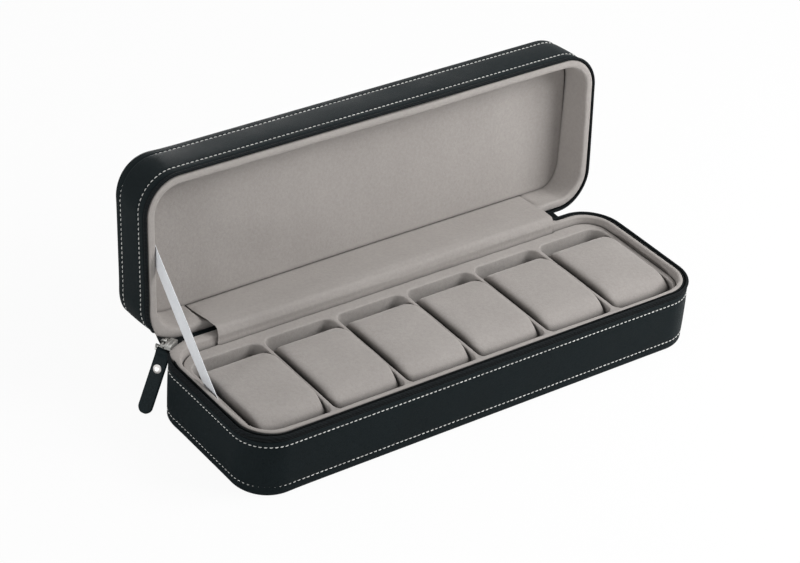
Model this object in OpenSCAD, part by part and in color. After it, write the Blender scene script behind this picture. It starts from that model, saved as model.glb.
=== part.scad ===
// Zipped travel case for six watches: leather covered base and lid, velvet lining,
// a divider tray with six lift-out pillows, a leather spine hinge and a ribbon stay.
// Millimetres. X runs along the case, the zip opens at the front (-Y), Z is up.
// The origin is the centre of the flat underside of the base.

/* [Case] */
// Length over the leather
case_length = 320; // [290:5:350]
// Depth over the leather, front to back
case_width = 104; // [98:1:116]
// Corner radius in plan
corner_radius = 23; // [20:0.5:26]
// Height of the base up to the plane where the two rims meet
base_height = 41; // [38:0.5:48]
// Height of the lid from that plane to its top
lid_height = 33.8; // [28:0.2:38]
// Radius of the rounded outer edge of base and lid
edge_radius = 2.6; // [2.5:0.1:3.5]

/* [Walls] */
// Leather thickness
leather = 1.2; // [0.8:0.1:1.6]
// Thickness of the stiff board inside the walls
board = 2; // [1.5:0.1:2.4]
// Thickness of the padded velvet lining on the walls
lining = 3.1; // [2.4:0.1:3.6]
// Glue gap between two layers
layer_gap = 0.1; // [0.05:0.05:0.15]
// Gap from a rim to the plane where the rims meet
rim_gap = 0.15; // [0.15:0.05:0.3]

/* [Zip] */
// Black zip tape left showing above the leather of the base
base_reveal = 4.4; // [4.1:0.1:5]
// Black zip tape left showing beside the leather of the lid
lid_reveal = 3.4; // [3.2:0.1:4]
// Thickness of the zip tape
tape = 0.8; // [0.6:0.1:0.9]
// Radius of the round coil along each edge of the zip
coil_radius = 1; // [0.8:0.05:1.05]

/* [Stitching] */
// Distance of the outer stitch rows from the flat face of base and lid
edge_stitch = 6.3; // [5.5:0.1:8]
// Distance of the stitch row of the base from its rim
base_rim_stitch = 7.7; // [7:0.1:9]
// Distance of the stitch row of the lid from its rim
lid_rim_stitch = 8.2; // [7:0.1:9]
// Thickness of the sewing thread
thread = 0.5; // [0.3:0.1:0.7]

/* [Tray] */
// Number of watch pockets
pockets = 6; // [4:1:6]
// Distance of the tray's top below the rim
tray_drop = 5; // [4:0.5:8]
// Wall between two pockets
divider = 3; // [2.4:0.1:4]
// Rail at each end of the tray
end_rail = 4.2; // [3:0.1:6]
// Rail along the front of the tray
front_rail = 3.2; // [2.5:0.1:4]
// Rail along the back of the tray
back_rail = 7.7; // [6:0.1:9]
// Corner radius of a pocket
pocket_radius = 6; // [4:0.5:8]
// Thickness of the velvet under the tray
floor_lining = 1; // [0.6:0.1:1.5]

/* [Pillows] */
// Space for the watch strap in front of a pillow
strap_gap_front = 4.5; // [4.3:0.1:6]
// Space for the watch strap behind a pillow
strap_gap_back = 5; // [4.3:0.1:6]
// Gap between a pillow's side and its pocket
side_gap = 0.9; // [0.5:0.1:1.2]
// Height of the pillow's top above the tray's top
pillow_rise = 3.2; // [2:0.1:4]
// Radius of the pillow's long rounded edges
pillow_radius = 13; // [9:0.5:14]
// Thickness of the velvet cover of a pillow
pillow_skin = 1.4; // [1:0.1:2]

/* [Lid lining] */
// Thickness of the foam behind the lining panel
lid_foam = 7.2; // [4:0.2:9]
// Thickness of the velvet covered lining panel
panel = 2.6; // [2:0.1:3]
// Gap round the lining panel
panel_gap = 0.8; // [0.5:0.1:1.2]

/* [Hinge] */
// Angle through which the lid opens
open_angle = 94.5; // [90:0.5:100]
// Distance of the hinge line behind the back wall
hinge_out = 2.4; // [2:0.1:3]
// Distance of the hinge line below the rim of the base
hinge_drop = 4.4; // [4:0.1:5]
// Distance of the ends of the leather spine from the ends of the case
spine_end = 25; // [24:1:40]
// Distance of the ends of the velvet flap from the ends of the case
flap_end = 39; // [35:1:60]
// Length of each end of the spine that is glued to a wall
spine_lap = 6; // [4:0.5:10]
// Bend radius of the spine with the lid open
spine_bend = 5; // [4:0.1:5.5]
// Thickness of the velvet flap
flap = 0.8; // [0.5:0.1:1]
// Bend radius of the flap with the lid open
flap_bend = 4; // [3.5:0.1:4.5]
// Depth to which the flap is tucked behind the tray
flap_tuck = 8; // [5:0.5:12]

/* [Ribbon stay] */
// Width of the ribbon
ribbon_width = 7.5; // [5:0.5:10]
// Thickness of the ribbon
ribbon = 0.6; // [0.4:0.1:0.7]
// Where the ribbon is sewn to the base, measured forward from the middle
ribbon_base_y = -3.2; // [-8:0.2:4]
// Height of the middle of that end above the tray's top
ribbon_base_rise = 2.8; // [2.8:0.1:3.4]
// Where the ribbon is sewn to the lid, measured forward from the middle
ribbon_lid_y = 9; // [4:0.5:14]
// Depth of that end below the rim of the lid
ribbon_lid_drop = 4; // [3.5:0.1:6]

/* [Zip slider] */
// Place of the parked slider round the rear left corner, in degrees from +X
slider_angle = 120; // [116:1:126]
// Gap between the leather corner and the slider
slider_gap = 1.25; // [1.2:0.05:1.5]
// Height of the slider's middle above the rim
slider_rise = 0.5; // [0:0.1:0.6]
// Length of the slider
slider_length = 9; // [8:0.1:9.5]
// Height of the slider at its wide end
slider_height = 6; // [5:0.1:6.2]
// Thickness of each plate of the slider
slider_plate = 1; // [0.8:0.1:1.1]
// Channel between the two plates
slider_channel = 2.1; // [2:0.1:2.3]
// Radius of the bar that carries the pull
bar_radius = 0.75; // [0.6:0.05:0.8]
// Clearance between the pull's moving pieces
pull_clear = 0.35; // [0.25:0.05:0.4]

/* [Pull tab] */
// Width of the leather tab, which stands with its round end on the table
tab_width = 8.8; // [7:0.1:9]
// Angle by which the whole pull is pushed out from the slider
pull_out = 6; // [0:0.5:10]
// Sideways lean of the tab
tab_lean = 25; // [15:0.5:30]
// Distance of the rivet from the pin
rivet_place = 10.5; // [8:0.5:14]
// Radius of the rivet's head
rivet_radius = 2.65; // [2:0.05:3]

/* [Hidden] */
$fn = 96;

leather_black = [0.11, 0.13, 0.15];
zip_black = [0.04, 0.05, 0.05];
velvet_grey = [0.66, 0.63, 0.61];
board_grey = [0.45, 0.43, 0.4];
foam_white = [0.85, 0.84, 0.8];
thread_white = [0.8, 0.8, 0.78];
ribbon_white = [0.85, 0.87, 0.92];
slider_metal = [0.6, 0.6, 0.6];

// Layers of a wall, as distances inward from the leather's outer face
board_at = leather + layer_gap;
lining_at = board_at + board + layer_gap;
wall = lining_at + lining;
// Floor of the tray's compartment
floor_top = lining_at + floor_lining;
tray_top = base_height - tray_drop;
tray_bottom = floor_top + layer_gap;
// Tray outline, just inside the lining
tray_gap = 0.3;
tray_inset = wall + tray_gap;
flap_room = flap + 2 * layer_gap;
tray_back = case_width / 2 - wall - flap_room - layer_gap;
tray_front = -case_width / 2 + tray_inset;
pocket_front = tray_front + front_rail;
pocket_back = tray_back - back_rail;
pocket_pitch = (case_length - 2 * tray_inset - 2 * end_rail + divider) / pockets;
pocket_width = pocket_pitch - divider;
pillow_width = pocket_width - 2 * side_gap;
pillow_front = pocket_front + strap_gap_front;
pillow_back = pocket_back - strap_gap_back;
pillow_bottom = floor_top + tray_gap;
pillow_top = tray_top + pillow_rise;
pillow_window = [pillow_width - 16, pillow_back - pillow_front - 2 * pillow_radius - 8];
// Depth of the lid from its rim to the lining panel
lid_depth = lid_height - lining_at - lid_foam - layer_gap - panel;
// Hinge line
spine_width = case_length - 2 * spine_end;
flap_width = case_length - 2 * flap_end;
hinge_y = case_width / 2 + hinge_out;
hinge_z = base_height - hinge_drop;
lid_top = base_height + lid_height;
// Zip: the coil lies on a step of tape and stands a little proud of the leather. It ends
// beside the straight back wall, on the rear corners.
coil_proud = 0.6;
coil_inset = coil_radius - coil_proud;
channel_wall = coil_inset + coil_radius + 0.9;
lid_lip_at = coil_inset + coil_radius + 0.1;
base_board_top = base_height - base_reveal + tape;
lid_board_top = lid_height - rim_gap - (wall - lid_lip_at) - layer_gap;
zip_back = case_width / 2 - corner_radius / 2;
zip_end = case_length / 2 - corner_radius + 0.6;
// Loose tape between the coil and the slider
tail_inner = corner_radius + coil_proud + layer_gap / 2;
tail_thick = slider_gap - coil_proud - 1.5 * layer_gap;
tail_hang = 2;
tail_drop = 0.4;
// Rim stitching stops this far from the spine
spine_clear = 1;
// Velvet folded out over the rear rim, where the zip is left out
rear_lip_at = 0.2;
rear_lip_drop = 0.6;
// Flat steps of a bend round the hinge
bend_steps = 12;
bend_step = open_angle / bend_steps;
// Slider, measured along a radius of the rear left corner
slider_z = base_height + slider_rise;
slider_inner = corner_radius + slider_gap;
slider_outer = slider_inner + 2 * slider_plate + slider_channel;
bar_at = slider_outer + 0.3 + 1 + pull_clear + bar_radius;
eye_inner = bar_radius + pull_clear;
eye_outer = eye_inner + 1;
pin_radius = 0.6;
loop_inner = pin_radius + 0.3;
loop_outer = loop_inner + leather;
frame_side = 0.8;
frame_width = tab_width + 2 * pull_clear + 2 * frame_side;
frame_middle = bar_at - 0.7;
frame_top = -slider_height / 2 - 0.3;
pin_drop = -frame_top + frame_side + pull_clear + loop_outer;
// Length of the tab from its pin to its round end, which just clears the table
tab_round = tab_width / 2;
tab_tilt = cos(pull_out) * sin(tab_lean);
tab_foot = tab_round * sqrt(1 - tab_tilt * tab_tilt) + leather * tab_tilt + 0.15;
pin_z = slider_z - pin_drop * cos(pull_out) + (frame_middle - bar_at) * sin(pull_out);
tab_length = tab_round + (pin_z - tab_foot) / (cos(pull_out) * cos(tab_lean));

// Rounded rectangle of the case in plan, moved inward by inset
module outline(inset) {
  length = case_length - 2 * inset;
  width = case_width - 2 * inset;
  radius = corner_radius - inset;
  square([length - 2 * radius, width], center = true);
  square([length, width - 2 * radius], center = true);
  for (x = [-1, 1], y = [-1, 1])
    translate([x * (length / 2 - radius), y * (width / 2 - radius)])
      circle(radius);
}

// Carries a flat profile round the case. Its x is the distance inward from the leather, its y the height.
module around() {
  side_x = case_length / 2 - corner_radius;
  side_y = case_width / 2 - corner_radius;
  for (turn = [0, 180])
    rotate(turn) {
      translate([-side_x, -case_width / 2, 0])
        rotate([90, 0, 90])
          linear_extrude(2 * side_x)
            children();
      translate([case_length / 2, -side_y, 0])
        rotate(90)
          rotate([90, 0, 90])
            linear_extrude(2 * side_y)
              children();
      translate([side_x, side_y, 0])
        rotate_extrude(angle = 90)
          translate([corner_radius, 0])
            mirror([1, 0])
              children();
      translate([side_x, -side_y, 0])
        rotate(-90)
          rotate_extrude(angle = 90)
            translate([corner_radius, 0])
              mirror([1, 0])
                children();
    }
}

// Leather band round a wall, turned under at the rounded edge
module side_cover(height, reveal) {
  color(leather_black)
    around() {
      translate([0, edge_radius])
        square([leather, height - reveal - edge_radius]);
      intersection() {
        difference() {
          translate([edge_radius, edge_radius])
            circle(edge_radius);
          translate([edge_radius, edge_radius])
            circle(edge_radius - leather);
        }
        square(edge_radius);
      }
    }
}

// Flat leather panel between the turned edges of the band
module face_cover() {
  color(leather_black)
    linear_extrude(leather)
      outline(edge_radius + layer_gap);
}

// Strip of stiff board bent round inside the leather, with its outer edge rounded
module wall_board(top) {
  color(board_grey)
    around() {
      translate([board_at, edge_radius])
        square([board, top - edge_radius]);
      intersection() {
        translate([edge_radius, edge_radius])
          circle(edge_radius - board_at);
        translate([board_at, board_at])
          square([board, edge_radius - board_at]);
      }
    }
}

// Flat stiff board between the walls
module face_board() {
  color(board_grey)
    translate([0, 0, board_at])
      linear_extrude(board)
        outline(board_at + board + layer_gap);
}

// Padded velvet wall with a round lip. Along the back the lip is folded out to the leather,
// down to rear_low.
module lining_wall(height, lip_at, rear_low) {
  lip = (wall - lip_at) / 2;
  rear_x = case_length / 2 - corner_radius;
  rear_top = height - rim_gap - rear_lip_drop;
  color(velvet_grey) {
    around() {
      translate([lining_at, lining_at])
        square([lining, height - rim_gap - lip - lining_at]);
      translate([lip_at + lip, height - rim_gap - lip])
        circle(lip);
    }
    translate([-rear_x, case_width / 2 - lip_at - lip, rear_low])
      cube([2 * rear_x, lip_at + lip - rear_lip_at, rear_top - rear_low]);
  }
}

// Everything of a zip half that is left out along the back
module zip_cut(left_end) {
  translate([-zip_end, case_width / 4, -1])
    cube([2 * zip_end, case_width, base_height + lid_height]);
  if (left_end)
    translate([-case_length, zip_back, -1])
      cube([case_length, case_width, base_height + lid_height]);
}

// Tape folded into a step that carries the coil. On the base it also turns up behind the coil.
module zip_tape(height, reveal, step, turn_up, left_end) {
  floor_at = height - rim_gap - 2 * coil_radius - tape - 0.1;
  color(zip_black)
    difference() {
      around() {
        translate([layer_gap, height - reveal + layer_gap])
          square([tape, floor_at + tape - height + reveal - layer_gap]);
        translate([layer_gap, floor_at])
          square([step - layer_gap, tape]);
        if (turn_up)
          translate([step - tape, floor_at])
            square([tape, height - rim_gap - 0.3 - floor_at]);
      }
      zip_cut(left_end);
    }
}

module zip_coil(height, left_end) {
  color(zip_black)
    difference() {
      around()
        translate([coil_inset, height - rim_gap - coil_radius])
          circle(coil_radius, $fn = 32);
      zip_cut(left_end);
    }
}

// Row of stitching, standing half its thickness proud of the leather
module stitching(height, behind_spine) {
  color(thread_white)
    difference() {
      around()
        translate([-thread, height - thread / 2])
          square([thread - layer_gap / 2, thread]);
      if (behind_spine)
        translate([-spine_width / 2 - spine_clear, 0, -1])
          cube([spine_width + 2 * spine_clear, case_width, base_height + lid_height]);
    }
}

// Places a closed lid's piece, drawn from its flat face like the base, onto the open lid
module on_lid() {
  translate([0, hinge_y, hinge_z])
    rotate([-open_angle, 0, 0])
      translate([0, -hinge_y, lid_top - hinge_z])
        mirror([0, 0, 1])
          children();
}

module base_bottom_cover() face_cover();
module base_side_cover() side_cover(base_height, base_reveal);
module base_floor_board() face_board();
module base_wall_board() wall_board(base_board_top);
module base_lining_wall() lining_wall(base_height, lining_at, base_board_top + layer_gap);
module base_zip_tape() zip_tape(base_height, base_reveal, channel_wall + tape, true, false);
module base_zip_coil() zip_coil(base_height, false);
module base_edge_stitching() stitching(edge_stitch, false);
module base_rim_stitching() stitching(base_height - base_rim_stitch, true);

module base_floor_lining() {
  color(velvet_grey)
    translate([0, 0, lining_at])
      linear_extrude(floor_lining)
        outline(wall + layer_gap);
}

// Opening between the front and back rails in plan, with rounded corners
module pocket(width) {
  depth = pocket_back - pocket_front;
  translate([-width / 2 + pocket_radius, pocket_front])
    square([width - 2 * pocket_radius, depth]);
  translate([-width / 2, pocket_front + pocket_radius])
    square([width, depth - 2 * pocket_radius]);
  for (x = [-1, 1], y = [pocket_front + pocket_radius, pocket_back - pocket_radius])
    translate([x * (width / 2 - pocket_radius), y])
      circle(pocket_radius);
}

function pocket_x(i) = (i - (pockets + 1) / 2) * pocket_pitch;

// Velvet covered frame of the tray, with the rounded corners of the two end pockets
module tray_frame() {
  color(velvet_grey)
    translate([0, 0, tray_bottom])
      linear_extrude(tray_top - tray_bottom)
        difference() {
          outline(tray_inset);
          translate([-flap_width / 2 - tray_gap, tray_back])
            square([flap_width + 2 * tray_gap, case_width]);
          pocket(pocket_width + (pockets - 1) * pocket_pitch);
        }
}

// Divider between two pockets. It widens at both ends, where it is glued to the rails.
module tray_divider(i) {
  width = divider + 2 * pocket_radius;
  color(velvet_grey)
    translate([pocket_x(i + 0.5), 0, tray_bottom])
      linear_extrude(tray_top - tray_bottom)
        difference() {
          translate([-width / 2, pocket_front + layer_gap])
            square([width, pocket_back - pocket_front - 2 * layer_gap]);
          for (x = [-1, 1])
            translate([x * pocket_pitch / 2, 0])
              pocket(pocket_width);
        }
}

// Side view of a pillow, moved inward by inset: x runs back, y up
module pillow_side(inset) {
  front = pillow_front + inset;
  low = pillow_bottom + inset;
  depth = pillow_back - pillow_front - 2 * inset;
  rise = pillow_top - pillow_bottom - 2 * inset;
  radius = pillow_radius - inset;
  translate([front + radius, low])
    square([depth - 2 * radius, rise]);
  translate([front, low + radius])
    square([depth, rise - 2 * radius]);
  for (x = [front + radius, front + depth - radius], y = [low + radius, low + rise - radius])
    translate([x, y])
      circle(radius);
}

module pillow_block(i, inset) {
  width = pillow_width - 2 * inset;
  translate([pocket_x(i) - width / 2, 0, 0])
    rotate([90, 0, 90])
      linear_extrude(width)
        pillow_side(inset);
}

// Velvet cover, left open underneath where its edges are turned in
module pillow_cover(i) {
  middle = (pillow_front + pillow_back) / 2;
  color(velvet_grey)
    difference() {
      pillow_block(i, 0);
      pillow_block(i, pillow_skin);
      translate([pocket_x(i) - pillow_window[0] / 2, middle - pillow_window[1] / 2, 0])
        cube([pillow_window[0], pillow_window[1], pillow_bottom + pillow_skin + layer_gap]);
    }
}

module pillow_core(i) {
  color(foam_white)
    pillow_block(i, pillow_skin + layer_gap);
}

module lid_top_cover() on_lid() face_cover();
module lid_side_cover() on_lid() side_cover(lid_height, lid_reveal);
module lid_top_board() on_lid() face_board();
module lid_wall_board() on_lid() wall_board(lid_board_top);
module lid_lining_wall() on_lid() lining_wall(lid_height, lid_lip_at, lid_height - lid_reveal + layer_gap);
module lid_zip_tape() on_lid() zip_tape(lid_height, lid_reveal, lid_lip_at - 0.2, false, true);
module lid_zip_coil() on_lid() zip_coil(lid_height, true);
module lid_edge_stitching() on_lid() stitching(edge_stitch, false);
module lid_rim_stitching() on_lid() stitching(lid_height - lid_rim_stitch, true);

module lid_foam_pad() {
  color(foam_white)
    on_lid()
      translate([0, 0, lining_at])
        linear_extrude(lid_foam)
          outline(wall + panel_gap);
}

module lid_lining_panel() {
  color(velvet_grey)
    on_lid()
      translate([0, 0, lid_height - lid_depth - panel])
        linear_extrude(panel)
          outline(wall + panel_gap);
}

// One face of a bent strip in side view, at radius from the middle of the bend
function strip_face(radius, base_run, lid_run) = concat(
  [[-radius, -base_run]],
  [for (i = [0 : bend_steps]) radius * [-cos(i * bend_step), sin(i * bend_step)]],
  [radius * [-cos(open_angle), sin(open_angle)] + lid_run * [sin(open_angle), cos(open_angle)]]
);

// Strip that bends round the hinge. reach is the distance of its middle from the hinge line,
// inside or outside the bend, and the strip runs on along each wall.
module hinge_strip(width, reach, bend, thick, base_run, lid_run) {
  out = bend - reach;
  down = -out * tan(open_angle / 2);
  inner = strip_face(bend - thick / 2, base_run, lid_run);
  outer = strip_face(bend + thick / 2, base_run, lid_run);
  last = len(inner) - 1;
  translate([-width / 2, hinge_y + out, hinge_z + down])
    rotate([90, 0, 90])
      linear_extrude(width)
        polygon(concat(outer, [for (i = [0 : last]) inner[last - i]]));
}

// Where the bend of a strip ends, measured from the rim along each wall
function bend_end(reach, bend) = (bend - reach) * tan(open_angle / 2);

module hinge_spine() {
  reach = hinge_out - leather / 2 - layer_gap / 4;
  color(leather_black)
    hinge_strip(
      spine_width, reach, spine_bend, leather,
      spine_lap,
      spine_lap + lid_reveal + hinge_drop
    );
}

module hinge_flap() {
  reach = hinge_out + wall + layer_gap + flap / 2;
  rise = -bend_end(reach, flap_bend);
  color(velvet_grey)
    hinge_strip(
      flap_width, reach, flap_bend, flap,
      tray_drop + flap_tuck + rise - hinge_drop,
      lid_depth - layer_gap + hinge_drop + rise
    );
}

// Ribbon from the left wall of the base to the left wall of the lid
module stay_ribbon() {
  low = [-ribbon_base_y, tray_top + ribbon_base_rise];
  lid_point = [-ribbon_lid_y - hinge_y, base_height + ribbon_lid_drop - hinge_z];
  high = [
    hinge_y + lid_point[0] * cos(open_angle) + lid_point[1] * sin(open_angle),
    hinge_z - lid_point[0] * sin(open_angle) + lid_point[1] * cos(open_angle)
  ];
  run = high - low;
  color(ribbon_white)
    translate([-case_length / 2 + wall + layer_gap, low[0], low[1]])
      rotate([atan2(run[1], run[0]), 0, 0])
        translate([0, 0, -ribbon_width / 2])
          cube([ribbon, norm(run), ribbon_width]);
}

// Places a piece at the parked slider: x runs out along the corner's radius, y along the zip
module at_slider() {
  translate([-case_length / 2 + corner_radius, case_width / 2 - corner_radius, slider_z])
    rotate(slider_angle)
      children();
}

// Loose end of the tape outside the leather of a rear corner
module zip_tail(start, sweep) {
  color(zip_black)
    translate([0, case_width / 2 - corner_radius, base_height - base_reveal - tail_hang])
      rotate(start)
        rotate_extrude(angle = sweep)
          translate([tail_inner, 0])
            square([tail_thick, base_reveal + tail_hang - tail_drop]);
}

module zip_tail_left() {
  translate([-case_length / 2 + corner_radius, 0, 0])
    zip_tail(93, 51);
}

module zip_tail_right() {
  translate([case_length / 2 - corner_radius, 0, 0])
    zip_tail(36, 51);
}

// Outline of a slider's plate: y runs along the zip, the wide mouth at the front
module slider_outline() {
  half = slider_length / 2;
  tall = slider_height / 2;
  nose = slider_height / 2 - 1.1;
  polygon([
    [-half, -nose + 0.6], [-half + 0.6, -nose], [half - 1.2, -tall], [half, -tall + 1.2],
    [half, tall - 1.2], [half - 1.2, tall], [-half + 0.6, nose], [-half, nose - 0.6]
  ]);
}

module slider_plate_at(x) {
  translate([x, 0, 0])
    rotate([90, 0, 90])
      linear_extrude(slider_plate)
        slider_outline();
}

module slider_body() {
  color(slider_metal)
    at_slider() {
      slider_plate_at(slider_inner);
      slider_plate_at(slider_outer - slider_plate);
      translate([slider_inner, slider_length / 2 - 3.4, -0.9])
        cube([slider_outer - slider_inner, 2.2, 1.8]);
    }
}

module slider_crown() {
  foot = 1;
  span = eye_outer + 0.4;
  color(slider_metal)
    at_slider() {
      for (y = [-span - foot, span])
        translate([slider_outer, y, -bar_radius])
          cube([bar_at - slider_outer + bar_radius, foot, 2 * bar_radius]);
      translate([bar_at, span + 0.01, 0])
        rotate([90, 0, 0])
          cylinder(r = bar_radius, h = 2 * span + 0.02);
    }
}

// Places a piece on the pull, swung out about the slider's bar
module at_pull() {
  at_slider()
    translate([bar_at, 0, 0])
      rotate([0, -pull_out, 0])
        children();
}

// Eye round the slider's bar, with a frame below it whose lower side is the tab's pin
module pull_link() {
  thick = 1;
  frame_left = frame_middle - bar_at - frame_width / 2;
  color(slider_metal)
    at_pull() {
      translate([0, thick / 2, 0])
        rotate([90, 0, 0])
          linear_extrude(thick)
            difference() {
              union() {
                circle(eye_outer);
                translate([-0.8, frame_top - frame_side / 2])
                  square([1.6, -frame_top]);
                translate([frame_left, frame_top - frame_side])
                  square([frame_width, frame_side]);
                for (x = [0, frame_width - frame_side])
                  translate([frame_left + x, -pin_drop - pin_radius])
                    square([frame_side, pin_drop + pin_radius + frame_top]);
              }
              circle(eye_inner);
            }
      translate([frame_left, 0, -pin_drop])
        rotate([0, 90, 0])
          cylinder(r = pin_radius, h = frame_width);
    }
}

// Places a piece on the leaning tab: z runs from the pin up, y is its thickness
module on_tab() {
  at_pull()
    translate([frame_middle - bar_at, 0, -pin_drop])
      rotate([tab_lean, 0, 0])
        children();
}

// Leather folded round the pin and closed by the rivet
module pull_tab() {
  color(leather_black)
    on_tab()
      difference() {
        union() {
          rotate([0, 90, 0])
            cylinder(r = loop_outer, h = tab_width, center = true);
          translate([0, leather, 0])
            rotate([90, 0, 0])
              linear_extrude(2 * leather) {
                translate([-tab_round, -tab_length + tab_round])
                  square([tab_width, tab_length - tab_round]);
                translate([0, -tab_length + tab_round])
                  circle(tab_round);
              }
        }
        rotate([0, 90, 0])
          cylinder(r = loop_inner, h = tab_width + 1, center = true);
        translate([0, 0, -rivet_place])
          rotate([90, 0, 0])
            cylinder(r = 1.2, h = 4 * leather, center = true);
      }
}

// Two-part rivet through both layers of the tab
module pull_rivet() {
  head = 0.6;
  color(slider_metal)
    on_tab()
      translate([0, 0, -rivet_place])
        rotate([90, 0, 0]) {
          cylinder(r = 1.15, h = 2 * leather + 0.2, center = true);
          for (side = [0, 180])
            rotate([side, 0, 0])
              translate([0, 0, leather + 0.05])
                cylinder(r1 = rivet_radius, r2 = rivet_radius - 0.4, h = head);
        }
}

base_bottom_cover();
base_side_cover();
base_floor_board();
base_wall_board();
base_lining_wall();
base_floor_lining();
base_zip_tape();
base_zip_coil();
base_edge_stitching();
base_rim_stitching();
tray_frame();
lid_top_cover();
lid_side_cover();
lid_top_board();
lid_wall_board();
lid_lining_wall();
lid_foam_pad();
lid_lining_panel();
lid_zip_tape();
lid_zip_coil();
lid_edge_stitching();
lid_rim_stitching();
hinge_spine();
hinge_flap();
stay_ribbon();
zip_tail_left();
zip_tail_right();
slider_body();
slider_crown();
pull_link();
pull_tab();
pull_rivet();
for (i = [1 : pockets - 1])
  tray_divider(i);
for (i = [1 : pockets])
  pillow_cover(i);
for (i = [1 : pockets])
  pillow_core(i);
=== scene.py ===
"""A zipped leather travel case for six watches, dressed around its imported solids."""

import math

import bmesh
import bpy
import numpy as np
from mathutils import Matrix, Vector


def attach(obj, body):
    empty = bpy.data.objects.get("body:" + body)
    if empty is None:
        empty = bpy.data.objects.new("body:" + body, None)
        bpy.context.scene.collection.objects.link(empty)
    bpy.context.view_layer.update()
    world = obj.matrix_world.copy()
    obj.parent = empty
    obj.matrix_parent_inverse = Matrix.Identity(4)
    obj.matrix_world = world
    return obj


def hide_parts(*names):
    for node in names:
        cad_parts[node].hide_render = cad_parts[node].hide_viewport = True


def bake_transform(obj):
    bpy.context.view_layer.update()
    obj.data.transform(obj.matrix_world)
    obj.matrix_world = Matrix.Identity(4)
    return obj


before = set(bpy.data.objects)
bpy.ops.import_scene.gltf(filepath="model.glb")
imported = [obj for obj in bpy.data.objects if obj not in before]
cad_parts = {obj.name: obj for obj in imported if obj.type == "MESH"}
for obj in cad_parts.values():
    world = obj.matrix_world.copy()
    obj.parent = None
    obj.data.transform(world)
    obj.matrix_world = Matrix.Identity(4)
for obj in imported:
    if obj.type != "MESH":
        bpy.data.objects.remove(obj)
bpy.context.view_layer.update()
MM = 0.001

# Camera, floor and studio light
# The case stands on a white sheet. A wide soft lamp stands before its right front corner, a
# weaker one hangs above, a distant low one on the left reaches into the lid, and a low strip
# stands behind. The white room fills the shadows. The camera looks down from the left front.
view_turn, view_rise, view_roll = (math.radians(a) for a in (-38.173, 33.178, 4.711))
view_distance, view_lens = 1.48148, 117.26
view_target = Vector((-0.030484, 0, 0.074768))
backwards = Vector((
    math.sin(view_turn) * math.cos(view_rise),
    -math.cos(view_turn) * math.cos(view_rise),
    math.sin(view_rise),
))
level_right = (-backwards).cross(Vector((0, 0, 1))).normalized()
level_up = backwards.cross(level_right)
right = level_right * math.cos(view_roll) + level_up * math.sin(view_roll)
up = level_up * math.cos(view_roll) - level_right * math.sin(view_roll)
camera_data = bpy.data.cameras.new("camera")
camera_data.lens = view_lens
camera_data.sensor_width = 36
camera_data.clip_start, camera_data.clip_end = 0.01, 50
camera = bpy.data.objects.new("camera", camera_data)
bpy.context.scene.collection.objects.link(camera)
camera.matrix_world = Matrix.Translation(view_target + backwards * view_distance) @ Matrix(
    (right, up, backwards)
).transposed().to_4x4()
bpy.context.scene.camera = camera
bpy.context.scene.view_settings.view_transform = "Standard"


def lamp(name, place, aim, width, height, power):
    """A soft rectangular lamp at a place, turned to face the aim."""
    data = bpy.data.lights.new(name, "AREA")
    data.shape, data.size, data.size_y, data.energy = "RECTANGLE", width, height, power
    made = bpy.data.objects.new(name, data)
    bpy.context.scene.collection.objects.link(made)
    made.location = place
    made.rotation_mode = "QUATERNION"
    made.rotation_quaternion = (Vector(aim) - Vector(place)).to_track_quat("-Z", "Y")


lamp("key_lamp", (0.66, -0.5, 0.66), (0, 0.02, 0.06), 0.6, 0.6, 11.2)
lamp("top_lamp", (0.1, 0.1, 1.6), (0, 0.02, 0.05), 1.1, 1.0, 3)
lamp("side_lamp", (-1.8, -0.4, 0.36), (0.16, 0.08, 0.1), 0.5, 0.3, 11.5)
lamp("back_lamp", (0.5, 1.6, 0.1), (0, 0.05, 0.06), 0.9, 0.18, 9)


def shader(name):
    """A new node material, with its nodes, a way to add one, and its Principled shader."""
    material = bpy.data.materials.new(name)
    material.use_nodes = True
    nodes, links = material.node_tree.nodes, material.node_tree.links

    def add(kind, inputs=None, **settings):
        node = nodes.new("ShaderNode" + kind)
        for key, value in settings.items():
            setattr(node, key, value)
        for key, value in (inputs or {}).items():
            if isinstance(value, bpy.types.NodeSocket):
                links.new(value, node.inputs[key])
            else:
                node.inputs[key].default_value = value
        return node

    return material, add, nodes["Principled BSDF"], links


world = bpy.data.worlds.new("white_room")
bpy.context.scene.world = world
world.use_nodes = True
world_nodes, world_links = world.node_tree.nodes, world.node_tree.links
room_light = world_nodes["Background"]
room_light.inputs["Color"].default_value = (1, 1, 1, 1)
room_light.inputs["Strength"].default_value = 0.26
white_back = world_nodes.new("ShaderNodeBackground")
white_back.inputs["Color"].default_value = (1, 1, 1, 1)
white_back.inputs["Strength"].default_value = 1
room_path = world_nodes.new("ShaderNodeLightPath")
room_mix = world_nodes.new("ShaderNodeMixShader")
seen = room_path.outputs["Is Camera Ray"]
for ray in ("Is Glossy Ray", "Is Transmission Ray"):
    either = world_nodes.new("ShaderNodeMath")
    either.operation = "MAXIMUM"
    world_links.new(seen, either.inputs[0])
    world_links.new(room_path.outputs[ray], either.inputs[1])
    seen = either.outputs[0]
world_links.new(seen, room_mix.inputs[0])
world_links.new(room_light.outputs[0], room_mix.inputs[1])
world_links.new(white_back.outputs[0], room_mix.inputs[2])
world_links.new(room_mix.outputs[0], world_nodes["World Output"].inputs["Surface"])

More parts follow.
